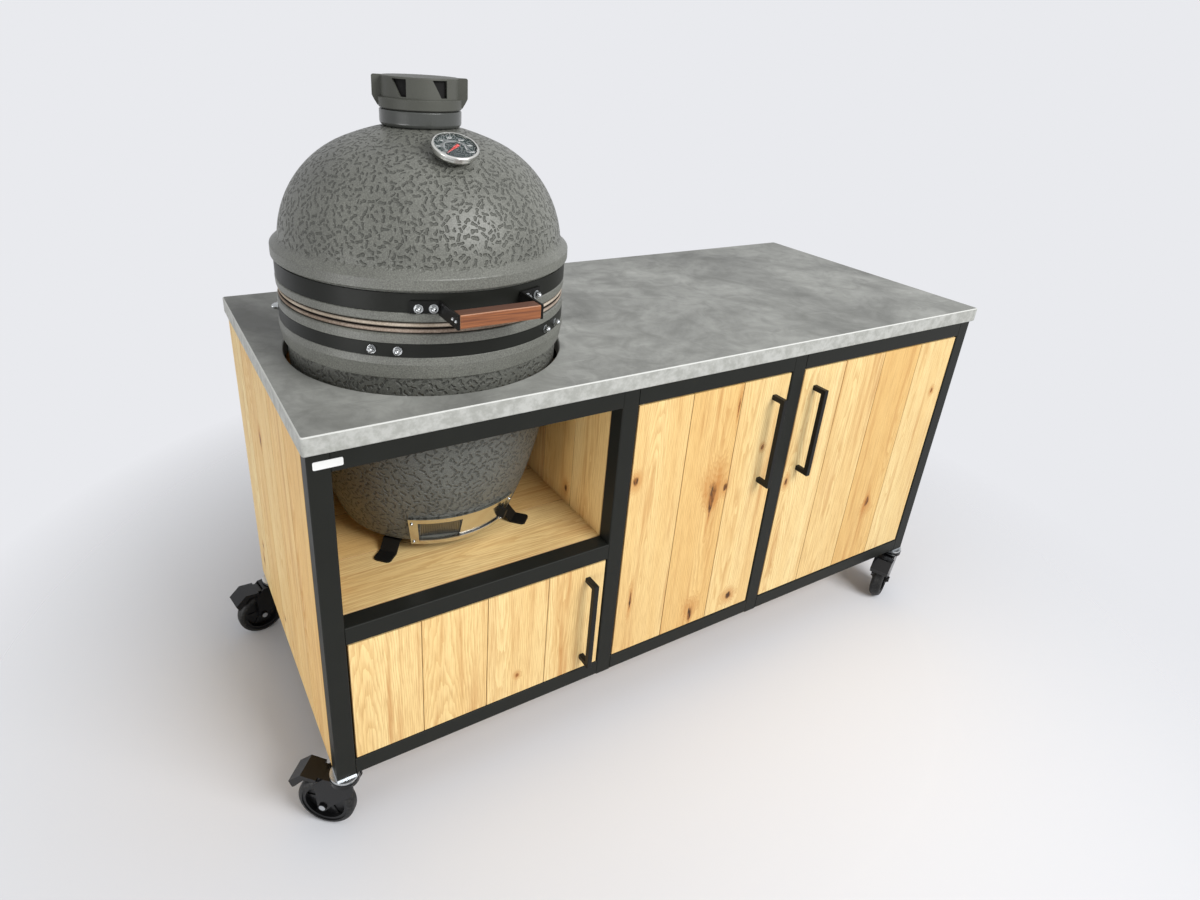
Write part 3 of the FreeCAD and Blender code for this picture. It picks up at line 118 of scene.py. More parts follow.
def oak(node, across, along, pitch, seed, knots=()):
    # Rings are cut from a log whose pith lies a little behind each board's face, so they arch
    # where the face runs near it. Ring width 4 mm; fibres drawn 2 mm wide, as pores don't show.
    # A knot: metres across from the first board's edge, place along, radius, stretch, taper.
    made, tree, shader = finish("oiled_oak_" + node, "#e9c48a", 0.55, Specular_IOR_Level=0.3)
    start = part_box(node)[0]["XYZ".index(across)]
    place = add(tree, "ShaderNodeTexCoord").outputs["Object"]
    spread = add(tree, "ShaderNodeSeparateXYZ", {0: place})
    a, run = spread.outputs["XYZ".index(across)], spread.outputs["XYZ".index(along)]
    depth = spread.outputs[3 - "XYZ".index(across) - "XYZ".index(along)]
    steps = add(tree, "ShaderNodeMath", {0: a, 1: 1 / pitch, 2: -start / pitch},
                operation="MULTIPLY_ADD")
    index = add(tree, "ShaderNodeMath", {0: steps}, operation="FLOOR")
    side = add(tree, "ShaderNodeMath", {0: depth}, operation="FLOOR")
    lot = add(tree, "ShaderNodeMath", {0: side, 1: 31.0, 2: index}, operation="MULTIPLY_ADD")
    luck = add(tree, "ShaderNodeTexWhiteNoise", {"W": add(tree, "ShaderNodeMath", {0: lot, 1: seed})},
               noise_dimensions="1D").outputs["Color"]
    chance = add(tree, "ShaderNodeSeparateColor", {0: luck})
    shift = add(tree, "ShaderNodeVectorMath", {0: luck, "Scale": 9.0}, operation="SCALE")
    inside = add(tree, "ShaderNodeMath", {0: add(tree, "ShaderNodeMath", {0: steps, 1: index},
                 operation="SUBTRACT"), 1: 0.5}, operation="SUBTRACT")
    u = add(tree, "ShaderNodeMath", {0: inside, 1: pitch}, operation="MULTIPLY")

    def grain(width, length, detail, rough=0.5):
        # Noise drawn out along the board: width and length of its marks in metres.
        marks = add(tree, "ShaderNodeCombineXYZ", {
            0: add(tree, "ShaderNodeMath", {0: u, 1: 1 / width}, operation="MULTIPLY"),
            1: add(tree, "ShaderNodeMath", {0: run, 1: 1 / length}, operation="MULTIPLY"),
            2: add(tree, "ShaderNodeMath", {0: depth, 1: 1 / width}, operation="MULTIPLY")})
        moved = add(tree, "ShaderNodeVectorMath", {0: marks, 1: shift}, operation="ADD")
        return add(tree, "ShaderNodeTexNoise", {
            "Vector": moved, "Scale": 1.0, "Detail": detail, "Roughness": rough})

    # Knots push the rings aside and darken the wood round them.
    halo = core = None
    for ka, kr, size, stretch, taper in knots:
        dr = add(tree, "ShaderNodeMath", {0: run, 1: kr}, operation="SUBTRACT")
        swell = add(tree, "ShaderNodeMath", {0: dr, 1: taper / (size * stretch), 2: 1.0},
                    operation="MULTIPLY_ADD")
        wide = add(tree, "ShaderNodeClamp", {"Value": swell, "Min": 0.3, "Max": 2.0})
        da = add(tree, "ShaderNodeMath", {0: add(tree, "ShaderNodeMath", {0: a, 1: start + ka},
                 operation="SUBTRACT"), 1: wide}, operation="DIVIDE")
        gap = add(tree, "ShaderNodeVectorMath", {0: add(tree, "ShaderNodeCombineXYZ", {
            0: add(tree, "ShaderNodeMath", {0: da, 1: 1 / size}, operation="MULTIPLY"),
            1: add(tree, "ShaderNodeMath", {0: dr, 1: 1 / (size * stretch)}, operation="MULTIPLY")})},
            operation="LENGTH").outputs["Value"]
        ragged = grain(size * 0.9, size * 3.0, 5.0, 0.6)
        gap = add(tree, "ShaderNodeMath", {0: ragged, 1: 1.5, 2: add(tree, "ShaderNodeMath", {
            0: gap, 1: 0.75}, operation="SUBTRACT")}, operation="MULTIPLY_ADD")
        near = add(tree, "ShaderNodeMapRange", {"Value": gap, "From Min": 3.4, "From Max": 0.7},
                   interpolation_type="SMOOTHSTEP")
        mid = add(tree, "ShaderNodeMapRange", {"Value": gap, "From Min": 1.15, "From Max": 0.55},
                  interpolation_type="SMOOTHSTEP")
        halo = near if halo is None else add(tree, "ShaderNodeMath", {0: halo, 1: near},
                                             operation="MAXIMUM")
        core = mid if core is None else add(tree, "ShaderNodeMath", {0: core, 1: mid},
                                            operation="MAXIMUM")

    # The pith lies 12 to 60 mm behind the face, leans a little and sways along the board.
    sway = add(tree, "ShaderNodeMapRange", {"Value": grain(0.09, 0.5, 2.0), "To Min": -0.02,
               "To Max": 0.02})
    lean = add(tree, "ShaderNodeMapRange", {"Value": chance.outputs[2], "To Min": -0.06,
               "To Max": 0.06})
    pith = add(tree, "ShaderNodeMapRange", {"Value": chance.outputs[1], "To Min": 0.012,
               "To Max": 0.06})
    away = add(tree, "ShaderNodeMath", {0: run, 1: lean, 2: add(tree, "ShaderNodeMath", {
        0: pith, 1: sway})}, operation="MULTIPLY_ADD")
    middle = add(tree, "ShaderNodeMapRange", {"Value": chance.outputs[0], "To Min": -0.055,
                 "To Max": 0.055})
    out = add(tree, "ShaderNodeVectorMath", {0: add(tree, "ShaderNodeCombineXYZ", {
        0: add(tree, "ShaderNodeMath", {0: u, 1: middle}, operation="SUBTRACT"), 1: away})},
        operation="LENGTH").outputs["Value"]
    ring_width = 0.0042
    rings = add(tree, "ShaderNodeMath", {0: out, 1: 1 / ring_width, 2: add(tree, "ShaderNodeMapRange", {
        "Value": grain(0.012, 0.09, 3.0), "To Min": -0.9, "To Max": 0.9})}, operation="MULTIPLY_ADD")
    if halo:
        rings = add(tree, "ShaderNodeMath", {0: halo, 1: 3.5, 2: rings}, operation="MULTIPLY_ADD")
    ring = add(tree, "ShaderNodeMath", {0: rings}, operation="FRACT")
    early = add(tree, "ShaderNodeMapRange", {"Value": ring, "From Min": 0.75, "From Max": 0.0},
                interpolation_type="SMOOTHSTEP")
    fibre = add(tree, "ShaderNodeMapRange", {"Value": grain(0.0022, 0.06, 3.0, 0.6), "From Min": 0.42,
                "From Max": 0.72}, interpolation_type="SMOOTHSTEP")
    streak = add(tree, "ShaderNodeMapRange", {"Value": grain(0.02, 0.5, 4.0, 0.6), "From Min": 0.5,
                 "From Max": 0.76}, interpolation_type="SMOOTHSTEP")
    band = add(tree, "ShaderNodeMapRange", {"Value": grain(0.06, 1.1, 2.0), "From Min": 0.3,
               "From Max": 0.7})

    # Colour: each board its own honey tone, then the early wood, brown streaks and dark fibres.
    board_tone = add(tree, "ShaderNodeMapRange", {"Value": chance.outputs[0], "To Min": 0.1,
                     "To Max": 0.9})
    colour = add(tree, "ShaderNodeMix", {"Factor": board_tone, "A": linear("#fbe6ab"),
                 "B": linear("#e9c27c")}, data_type="RGBA")
    colour = add(tree, "ShaderNodeMix", {"Factor": add(tree, "ShaderNodeMath", {0: band, 1: 0.45},
                 operation="MULTIPLY"), "A": colour, "B": linear("#e0b26a")}, data_type="RGBA")
    for mask, amount, tint in ((early, 0.34, "#c08646"), (streak, 0.62, "#b87837"),
                               (fibre, 0.38, "#b37c40")):
        colour = add(tree, "ShaderNodeMix", {"Factor": add(tree, "ShaderNodeMath", {0: mask, 1: amount},
                     operation="MULTIPLY"), "A": colour, "B": linear(tint)}, data_type="RGBA")
    if halo:
        colour = add(tree, "ShaderNodeMix", {"Factor": add(tree, "ShaderNodeMath", {0: halo, 1: 0.6},
                     operation="MULTIPLY"), "A": colour, "B": linear("#bd7a35")}, data_type="RGBA")
        dark = add(tree, "ShaderNodeMix", {"Factor": add(tree, "ShaderNodeMapRange", {
            "Value": grain(0.006, 0.02, 3.0), "From Min": 0.4, "From Max": 0.6}),
            "A": linear("#935d28"), "B": linear("#452c15")}, data_type="RGBA")
        colour = add(tree, "ShaderNodeMix", {"Factor": core, "A": colour, "B": dark}, data_type="RGBA")
    # The joint between two boards: a shaded line about 1 mm to each side.
    edge = add(tree, "ShaderNodeMapRange", {"Value": add(tree, "ShaderNodeMath", {0: inside},
               operation="ABSOLUTE"), "From Min": 0.5 - 0.0014 / pitch,
               "From Max": 0.5 - 0.0006 / pitch})
    colour = add(tree, "ShaderNodeMix", {"Factor": add(tree, "ShaderNodeMath", {0: edge, 1: 0.7},
                 operation="MULTIPLY"), "A": colour, "B": linear("#8a5f2c")}, data_type="RGBA")
    wear(tree, shader, "Base Color", colour)
    wear(tree, shader, "Roughness", add(tree, "ShaderNodeMapRange", {"Value": early, "To Min": 0.48,
         "To Max": 0.62}))
    height = add(tree, "ShaderNodeMath", {0: early, 1: -0.4, 2: add(tree, "ShaderNodeMath", {
        0: fibre, 1: -0.6}, operation="MULTIPLY")}, operation="MULTIPLY_ADD")
    wear(tree, shader, "Normal", add(tree, "ShaderNodeBump", {
        "Height": height, "Strength": 0.5, "Distance": 0.0003}))
    return made


def scattered(seed, count, width):
    # A few small knots somewhere on a wall of boards of this width.
    pick = random.Random(seed)
    return [(pick.uniform(0.0, width), pick.uniform(0.22, 0.88), pick.uniform(0.004, 0.009),
             pick.uniform(1.0, 2.2), pick.uniform(-0.5, 0.5)) for _ in range(count)]


coat(oak("left_side_boards", "Y", "Z", 0.1423, 3.0, scattered(5, 4, 0.7)), "left_side_boards")
coat(oak("right_side_boards", "Y", "Z", 0.1423, 14.0, scattered(8, 4, 0.7)), "right_side_boards")
coat(oak("rear_boards", "X", "Z", 0.14504, 25.0, scattered(11, 8, 1.7)), "rear_boards")
coat(oak("inner_wall_boards", "Y", "Z", 0.1303, 36.0, scattered(3, 3, 0.64)), "inner_wall_boards")
coat(oak("shelf_boards", "Y", "X", 0.162875, 47.0, [(0.157, -0.63, 0.009, 1.2, 0.0)]), "shelf_boards")
coat(oak("cabinet_floor_boards", "Y", "X", 0.162875, 58.0), "cabinet_floor_boards")
coat(oak("lower_door", "X", "Z", 0.144875, 69.0, [(0.364, 0.2555, 0.0045, 1.3, 0.0)]), "lower_door")
coat(oak("middle_door", "X", "Z", 0.1465, 80.0, [
    (0.247, 0.575, 0.011, 4.2, 0.85), (0.286, 0.602, 0.006, 2.0, 0.0), (0.238, 0.23, 0.007, 3.6, 0.6),
    (0.366, 0.245, 0.011, 1.1, 0.0), (0.286, 0.813, 0.0025, 10.0, 0.3), (0.013, 0.688, 0.008, 1.5, 0.0),
    (0.388, 0.687, 0.005, 1.4, 0.0), (0.037, 0.354, 0.003, 9.0, 0.0)]), "middle_door")
coat(oak("right_door", "X", "Z", 0.146125, 91.0, [
    (0.0155, 0.56, 0.005, 2.4, 0.0), (0.382, 0.40, 0.007, 2.8, -0.5), (0.542, 0.72, 0.005, 1.6, 0.0)]),
    "right_door")

# Worktop: a 36 mm slab of cast concrete, trowelled and sealed, with a round hole for the kamado.
# Cloudy trowel patches, thin arcs of scratches and fine pits; the edges are paler and mottled.
concrete, tree, shader = finish("trowelled_concrete", "#a3a49f", 0.5, Specular_IOR_Level=0.2)
place = add(tree, "ShaderNodeTexCoord").outputs["Object"]
cloud = add(tree, "ShaderNodeTexNoise", {"Vector": place, "Scale": 3.2, "Detail": 7.0, "Roughness": 0.62,
            "Distortion": 0.6})
patch = add(tree, "ShaderNodeTexNoise", {"Vector": place, "Scale": 14.0, "Detail": 5.0, "Roughness": 0.6,
            "Distortion": 1.2})
colour = add(tree, "ShaderNodeMix", {"Factor": add(tree, "ShaderNodeMapRange", {
    "Value": cloud, "From Min": 0.34, "From Max": 0.66}), "A": linear("#767773"),
    "B": linear("#b0b1ac")}, data_type="RGBA")
colour = add(tree, "ShaderNodeMix", {"Factor": add(tree, "ShaderNodeMapRange", {
    "Value": patch, "From Min": 0.4, "From Max": 0.75, "To Max": 0.55}), "A": colour,
    "B": linear("#70716d")}, data_type="RGBA")
# Trowel strokes are about 3 mm wide and 200 mm long, in two directions.
strokes = None
for angle, seed in ((0.35, 0.0), (-0.5, 7.0)):
    swing = add(tree, "ShaderNodeMapping", {"Vector": place, "Rotation": (0.0, 0.0, angle),
                "Location": (seed, seed, 0.0), "Scale": (5.0, 160.0, 1.0)})
    stroke = add(tree, "ShaderNodeMapRange", {"Value": add(tree, "ShaderNodeTexNoise", {
        "Vector": swing, "Scale": 1.0, "Detail": 2.0, "Distortion": 0.4}), "From Min": 0.66,
        "From Max": 0.74})
    strokes = stroke if strokes is None else add(tree, "ShaderNodeMath", {0: strokes, 1: stroke},
                                                 operation="MAXIMUM")
faint = add(tree, "ShaderNodeMath", {0: strokes, 1: add(tree, "ShaderNodeMapRange", {
    "Value": cloud, "From Min": 0.45, "From Max": 0.7, "To Max": 0.6})}, operation="MULTIPLY")
colour = add(tree, "ShaderNodeMix", {"Factor": faint, "A": colour, "B": linear("#c6c7c2")},
             data_type="RGBA")
up = add(tree, "ShaderNodeSeparateXYZ", {0: add(tree, "ShaderNodeTexCoord").outputs["Normal"]})
rim = add(tree, "ShaderNodeMapRange", {"Value": up.outputs[2], "From Min": 0.9, "From Max": 0.5})
mottle = add(tree, "ShaderNodeTexNoise", {"Vector": place, "Scale": 45.0, "Detail": 5.0,
             "Roughness": 0.7})
cast_face = add(tree, "ShaderNodeMix", {"Factor": add(tree, "ShaderNodeMapRange", {
    "Value": mottle, "From Min": 0.4, "From Max": 0.6}), "A": linear("#a2a39e"), "B": linear("#b9bab6")},
    data_type="RGBA")
colour = add(tree, "ShaderNodeMix", {"Factor": rim, "A": colour, "B": cast_face}, data_type="RGBA")
# The eased top edge is painted pale, a painted highlight: its normals lie between those of the faces.
arris = add(tree, "ShaderNodeMapRange", {"Value": add(tree, "ShaderNodeMath", {0: add(tree,
    "ShaderNodeMath", {0: up.outputs[2], 1: 0.6}, operation="SUBTRACT")}, operation="ABSOLUTE"),
    "From Min": 0.36, "From Max": 0.25})
colour = add(tree, "ShaderNodeMix", {"Factor": arris, "A": colour, "B": linear("#d3d4d0")},
             data_type="RGBA")
wear(tree, shader, "Base Color", colour)
wear(tree, shader, "Roughness", add(tree, "ShaderNodeMapRange", {"Value": patch, "To Min": 0.38,
     "To Max": 0.6}))
# Pits about 3 mm apart.
pits = add(tree, "ShaderNodeTexNoise", {"Vector": place, "Scale": 320.0, "Detail": 3.0})
wear(tree, shader, "Normal", add(tree, "ShaderNodeBump", {"Height": add(tree, "ShaderNodeMath", {
    0: cloud, 1: 3.0, 2: pits}, operation="MULTIPLY_ADD"), "Strength": 0.3, "Distance": 0.0008}))
coat(concrete, "worktop")

# Small bare plate on the front left corner of the frame: 1.2 mm aluminium, stuck on.
# Painted white, so it reads as a pale patch with a soft shine.
plate_white = painted_steel("painted_white_plate", "#e6e7e6", 0.4, 0.05, 0.15)
coat(plate_white, "name_plate")

# Door handles: 12 mm square steel bar, mitred and welded, on two legs through the boards.
# Same powder coat as the frame but a little smoother from handling. Pins turn in the rails.
bar_coat = painted_steel("powder_coat_handle", "#1d1d1c", 0.36, 0.06, 0.25)
coat(bar_coat, "lower_door_handle", "middle_door_handle", "right_door_handle", "door_magnets")


def bright_metal(name, colour, roughness, brush):
    # Bare metal; brush gives the length of its marks along X, Y and Z in millimetres.
    made, tree, shader = finish(name, colour, roughness, 1.0)
    place = add(tree, "ShaderNodeTexCoord").outputs["Object"]
    marks = add(tree, "ShaderNodeTexNoise", {"Vector": add(tree, "ShaderNodeMapping", {
        "Vector": place, "Scale": [1000 / b for b in brush]}), "Scale": 1.0, "Detail": 3.0})
    wear(tree, shader, "Roughness", add(tree, "ShaderNodeMapRange", {
        "Value": marks, "To Min": roughness * 0.6, "To Max": roughness * 1.5}))
    wear(tree, shader, "Normal", add(tree, "ShaderNodeBump", {
        "Height": marks, "Strength": 0.2, "Distance": 0.0002}))
    return made


zinc = bright_metal("zinc_plated_steel", "#c3c6c8", 0.28, (6, 6, 6))
coat(zinc, "door_pivot_pins")

# Kamado base and lid: thick cast ceramic under a matt charcoal glaze.
# Dome and belly carry a cast relief of short sunk bone-like strokes; the rims are smooth and speckled.
glaze, tree, shader = finish("matt_charcoal_glaze", "#5f605a", 0.5, Specular_IOR_Level=0.45)
place = add(tree, "ShaderNodeTexCoord").outputs["Object"]
bend = add(tree, "ShaderNodeTexNoise", {"Vector": place, "Scale": 60.0, "Detail": 1.0})
bent = add(tree, "ShaderNodeVectorMath", {0: add(tree, "ShaderNodeVectorMath", {
    0: bend.outputs["Color"], "Scale": 0.008}, operation="SCALE"), 1: place}, operation="ADD")
# One stroke in each cell of about 14 mm: its middle, a random direction in the surface, and the
# distance of a point from that short line.
cells = 1 / 0.0138
cell = add(tree, "ShaderNodeTexVoronoi", {"Vector": bent, "Scale": cells, "Randomness": 0.8})
border = add(tree, "ShaderNodeTexVoronoi", {"Vector": bent, "Scale": cells, "Randomness": 0.8},
             feature="DISTANCE_TO_EDGE")
scaled = add(tree, "ShaderNodeVectorMath", {0: bent, "Scale": cells}, operation="SCALE")
centre = add(tree, "ShaderNodeVectorMath", {0: cell.outputs["Position"], "Scale": cells},
             operation="SCALE")
facing = add(tree, "ShaderNodeTexCoord").outputs["Normal"]
spoke = add(tree, "ShaderNodeVectorMath", {0: scaled, 1: centre}, operation="SUBTRACT")
above = add(tree, "ShaderNodeVectorMath", {0: spoke, 1: facing},
            operation="DOT_PRODUCT").outputs["Value"]
offset = add(tree, "ShaderNodeVectorMath", {0: spoke, 1: add(tree, "ShaderNodeVectorMath", {
         0: facing, "Scale": above}, operation="SCALE")}, operation="SUBTRACT")
toss = add(tree, "ShaderNodeVectorMath", {0: cell.outputs["Color"], 1: (0.5, 0.5, 0.5)},
           operation="SUBTRACT")
lying = add(tree, "ShaderNodeVectorMath", {0: add(tree, "ShaderNodeVectorMath", {0: toss, 1: facing},
            operation="CROSS_PRODUCT")}, operation="NORMALIZE")
reach = add(tree, "ShaderNodeVectorMath", {0: offset, 1: lying},
            operation="DOT_PRODUCT").outputs["Value"]
# Half a stroke is 0.3 of a cell long; it is wider towards its ends, like a bone.
half_stroke = 0.3
held = add(tree, "ShaderNodeClamp", {"Value": reach, "Min": -half_stroke, "Max": half_stroke})
near_line = add(tree, "ShaderNodeVectorMath", {0: lying, "Scale": held}, operation="SCALE")
gap = add(tree, "ShaderNodeVectorMath", {0: add(tree, "ShaderNodeVectorMath", {0: offset, 1: near_line},
          operation="SUBTRACT")}, operation="LENGTH").outputs["Value"]
knob = add(tree, "ShaderNodeMath", {0: add(tree, "ShaderNodeMath", {0: held}, operation="ABSOLUTE"),
           1: -0.3, 2: gap}, operation="MULTIPLY_ADD")
inside_cell = add(tree, "ShaderNodeMapRange", {"Value": border.outputs["Distance"],
                  "From Min": 0.03, "From Max": 0.12}, interpolation_type="SMOOTHSTEP")
bone = add(tree, "ShaderNodeMath", {0: add(tree, "ShaderNodeMapRange", {
    "Value": knob, "From Min": 0.19, "From Max": 0.02}, interpolation_type="SMOOTHSTEP"),
    1: inside_cell}, operation="MULTIPLY")
# The relief starts above the lid's rim and below the base's rim, at these heights.
height = add(tree, "ShaderNodeSeparateXYZ", {0: place}).outputs[2]
on_dome = add(tree, "ShaderNodeMapRange", {"Value": height, "From Min": 1.176, "From Max": 1.184})
on_belly = add(tree, "ShaderNodeMapRange", {"Value": height, "From Min": 0.984, "From Max": 0.976})
# The inside is smooth: there the surface faces the middle of the kamado.
low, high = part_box("base_shell")
middle = ((low[0] + high[0]) / 2, (low[1] + high[1]) / 2, high[2])
from_middle = add(tree, "ShaderNodeVectorMath", {0: place, 1: middle}, operation="SUBTRACT")
outside = add(tree, "ShaderNodeMath", {0: add(tree, "ShaderNodeVectorMath", {0: from_middle, 1: facing},
              operation="DOT_PRODUCT").outputs["Value"], 1: 0.0}, operation="GREATER_THAN")
rough_zone = add(tree, "ShaderNodeMath", {0: add(tree, "ShaderNodeMath", {0: on_dome, 1: on_belly},
                 operation="MAXIMUM"), 1: outside}, operation="MULTIPLY")
relief = add(tree, "ShaderNodeMath", {0: bone, 1: rough_zone}, operation="MULTIPLY")
speckle = add(tree, "ShaderNodeTexNoise", {"Vector": place, "Scale": 420.0, "Detail": 2.0,
              "Roughness": 0.7})
dust = add(tree, "ShaderNodeTexNoise", {"Vector": place, "Scale": 9.0, "Detail": 4.0})
tone = add(tree, "ShaderNodeMapRange", {"Value": dust, "From Min": 0.3, "From Max": 0.7, "To Min": 0.88,
           "To Max": 1.12})
colour = add(tree, "ShaderNodeMix", {"Factor": add(tree, "ShaderNodeMapRange", {
    "Value": speckle, "From Min": 0.35, "From Max": 0.68}), "A": linear("#5b5c56"),
    "B": linear("#7c7d76")}, data_type="RGBA")
# The sunk strokes are painted darker: painted shade in their hollows.
colour = add(tree, "ShaderNodeMix", {"Factor": add(tree, "ShaderNodeMath", {0: relief, 1: 0.5},
             operation="MULTIPLY"), "A": colour, "B": linear("#353631")}, data_type="RGBA")
# The belly is painted darker: painted shade, as it lies in the niche under the worktop.
tone = add(tree, "ShaderNodeMath", {0: tone, 1: add(tree, "ShaderNodeMapRange", {
    "Value": on_belly, "To Min": 1.0, "To Max": 0.74})}, operation="MULTIPLY")
wear(tree, shader, "Base Color", add(tree, "ShaderNodeVectorMath", {0: colour, "Scale": tone},
     operation="SCALE"))
wear(tree, shader, "Roughness", add(tree, "ShaderNodeMapRange", {"Value": relief, "To Min": 0.42,
     "To Max": 0.62}))
fine = add(tree, "ShaderNodeBump", {"Height": speckle, "Strength": 0.25, "Distance": 0.0004})
wear(tree, shader, "Normal", add(tree, "ShaderNodeBump", {"Height": relief, "Strength": 1.0,
     "Distance": 0.0024, "Normal": fine}, invert=True))
coat(glaze, "base_shell", "lid_shell")

# Steel bands, hinge brackets and their nuts: the bands clamp each half of the ceramic.
# Satin black paint with a faint drift in shine; nuts and pins are polished stainless.
band_coat = painted_steel("satin_black_band", "#1f201d", 0.38, 0.1, 0.2)
coat(band_coat, "base_band", "lid_band", "hinge_base_bracket", "hinge_lid_bracket")
polished = bright_metal("polished_stainless", "#b4b6b6", 0.2, (5, 5, 5))
coat(polished, "base_fasteners", "lid_fasteners", "hinge_pin", "hinge_springs")


def felt(node, colour, shade):
    # Pressed fibre strip: matt, with fibres drawn 3 mm long and a darker scorch here and there.
    # Its upper and lower edges are painted dark: painted shade in the grooves beside the rims.
    made, tree, shader = finish("pressed_felt_" + node, colour, 0.95, Specular_IOR_Level=0.1)
    place = add(tree, "ShaderNodeTexCoord").outputs["Object"]
    fibre = add(tree, "ShaderNodeTexNoise", {"Vector": place, "Scale": 330.0, "Detail": 4.0,
                "Roughness": 0.7})
    scorch = add(tree, "ShaderNodeTexNoise", {"Vector": place, "Scale": 12.0, "Detail": 3.0})
    both = add(tree, "ShaderNodeMath", {0: fibre, 1: scorch}, operation="MULTIPLY")
    unshaded_felt = add(tree, "ShaderNodeMix", {"Factor": add(tree, "ShaderNodeMapRange", {
        "Value": both, "From Min": 0.15, "From Max": 0.36}), "A": linear(shade), "B": linear(colour)},
        data_type="RGBA")
    low, high = (corner[2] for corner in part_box(node))
    from_middle = add(tree, "ShaderNodeMath", {0: add(tree, "ShaderNodeMath", {
        0: add(tree, "ShaderNodeSeparateXYZ", {0: place}).outputs[2], 1: (low + high) / 2},
        operation="SUBTRACT")}, operation="ABSOLUTE")
    # Painted shade: darker towards the upper and lower edges of the strip.
    edge_shade = add(tree, "ShaderNodeMapRange", {"Value": from_middle, "From Min": 0.3 * (high - low) / 2,
                 "From Max": 0.8 * (high - low) / 2})
    wear(tree, shader, "Base Color", add(tree, "ShaderNodeMix", {
        "Factor": edge_shade, "A": unshaded_felt, "B": linear("#1d1713")}, data_type="RGBA"))
    wear(tree, shader, "Normal", add(tree, "ShaderNodeBump", {"Height": fibre, "Strength": 0.6,
         "Distance": 0.0008}))
    return made


coat(felt("lid_gasket", "#cfc3b4", "#a39584"), "lid_gasket")
coat(felt("base_gasket", "#b9aa9c", "#7d6c5f"), "base_gasket")

# Lid grip: a hardwood block between two black steel arms, held by screws from the ends.
# Reddish brown and oiled, with lines along its length; the top is painted darker as painted shade, and
# the edges paler as a painted highlight with some wear.
grip_wood, tree, shader = finish("oiled_jatoba", "#a9623c", 0.42)
place = add(tree, "ShaderNodeTexCoord").outputs["Object"]
lines = add(tree, "ShaderNodeTexNoise", {"Vector": add(tree, "ShaderNodeMapping", {
    "Vector": place, "Scale": (12.0, 420.0, 420.0)}), "Scale": 1.0, "Detail": 4.0, "Roughness": 0.6,
    "Distortion": 0.3})
colour = add(tree, "ShaderNodeMix", {"Factor": add(tree, "ShaderNodeMapRange", {
    "Value": lines, "From Min": 0.35, "From Max": 0.66}), "A": linear("#6a3b22"),
    "B": linear("#9c6038")}, data_type="RGBA")
side = add(tree, "ShaderNodeVectorMath", {0: add(tree, "ShaderNodeTexCoord").outputs["Normal"]},
           operation="ABSOLUTE")
face = add(tree, "ShaderNodeSeparateXYZ", {0: side})
flat = add(tree, "ShaderNodeMath", {0: face.outputs[1], 1: face.outputs[2]}, operation="MAXIMUM")
# The top face is painted darker: painted shade, as the light comes from the front.
colour = add(tree, "ShaderNodeMix", {"Factor": add(tree, "ShaderNodeMapRange", {
    "Value": face.outputs[2], "From Min": 0.9, "From Max": 0.98, "To Max": 0.75}), "A": colour,
    "B": linear("#4d342b")}, data_type="RGBA")
# The rounded edges are painted paler: a painted highlight along them, with some wear.
colour = add(tree, "ShaderNodeMix", {"Factor": add(tree, "ShaderNodeMapRange", {
    "Value": flat, "From Min": 0.97, "From Max": 0.88, "To Max": 0.6}), "A": colour,
    "B": linear("#b98561")}, data_type="RGBA")
wear(tree, shader, "Base Color", colour)
wear(tree, shader, "Normal", add(tree, "ShaderNodeBump", {"Height": lines, "Strength": 0.3,
     "Distance": 0.0004}))
coat(grip_wood, "handle_grip")
coat(painted_steel("black_bracket", "#171716", 0.34, 0.06, 0.2), "handle_bracket")

# Chimney collar and turning cap: cast aluminium, shot blasted and painted dark grey.
# The collar is smoother and shows soft upright reflections; the cap is matt.
collar, tree, shader = finish("collar_paint", "#454744", 0.26, Specular_IOR_Level=0.5)
place = add(tree, "ShaderNodeTexCoord").outputs["Object"]
# Its sleeve, seen through the windows of the cap, is black with soot.
under_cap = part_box("vent_cap")[0][2] + 0.01
soot = add(tree, "ShaderNodeMapRange", {
    "Value": add(tree, "ShaderNodeSeparateXYZ", {0: place}).outputs[2],
    "From Min": under_cap, "From Max": under_cap + 0.002})
wear(tree, shader, "Base Color", add(tree, "ShaderNodeMix", {
    "Factor": soot, "A": linear("#454744"), "B": linear("#0b0a09")}, data_type="RGBA"))
wear(tree, shader, "Roughness", add(tree, "ShaderNodeMapRange", {"Value": soot, "To Min": 0.26,
     "To Max": 0.95}))
coat(collar, "vent_collar")
coat(painted_steel("cap_paint", "#51524c", 0.5, 0.08, 0.6, 0.3), "vent_cap")

# Thermometer: a stainless case with a rolled bezel, a printed slate dial under flat glass and a
# red pointer. The numbers and the arc are white print on the dial.
turned_steel = bright_metal("turned_stainless", "#cfcfc9", 0.22, (4, 4, 4))
coat(turned_steel, "thermometer_case")
dial_paint = painted_steel("slate_dial_paint", "#2b3635", 0.5, 0.04, 0.05)
coat(dial_paint, "thermometer_dial")
coat(finish("pointer_red_paint", "#d23a30", 0.4)[0], "thermometer_pointer")
pane, tree, shader = finish("clear_dial_glass", "#ffffff", 0.02, Transmission_Weight=1.0, IOR=1.45)
# The thin pane bends nothing and casts no shadow, so most light passes straight through.
open_way = add(tree, "ShaderNodeBsdfTransparent")
straight = add(tree, "ShaderNodeMath", {0: add(tree, "ShaderNodeLightPath").outputs["Is Shadow Ray"],
               1: 0.9}, operation="MAXIMUM")
clear = add(tree, "ShaderNodeMixShader", {0: straight, 1: shader.outputs[0], 2: open_way.outputs[0]})
tree.links.new(clear.outputs[0], tree.nodes["Material Output"].inputs["Surface"])
coat(pane, "thermometer_glass")

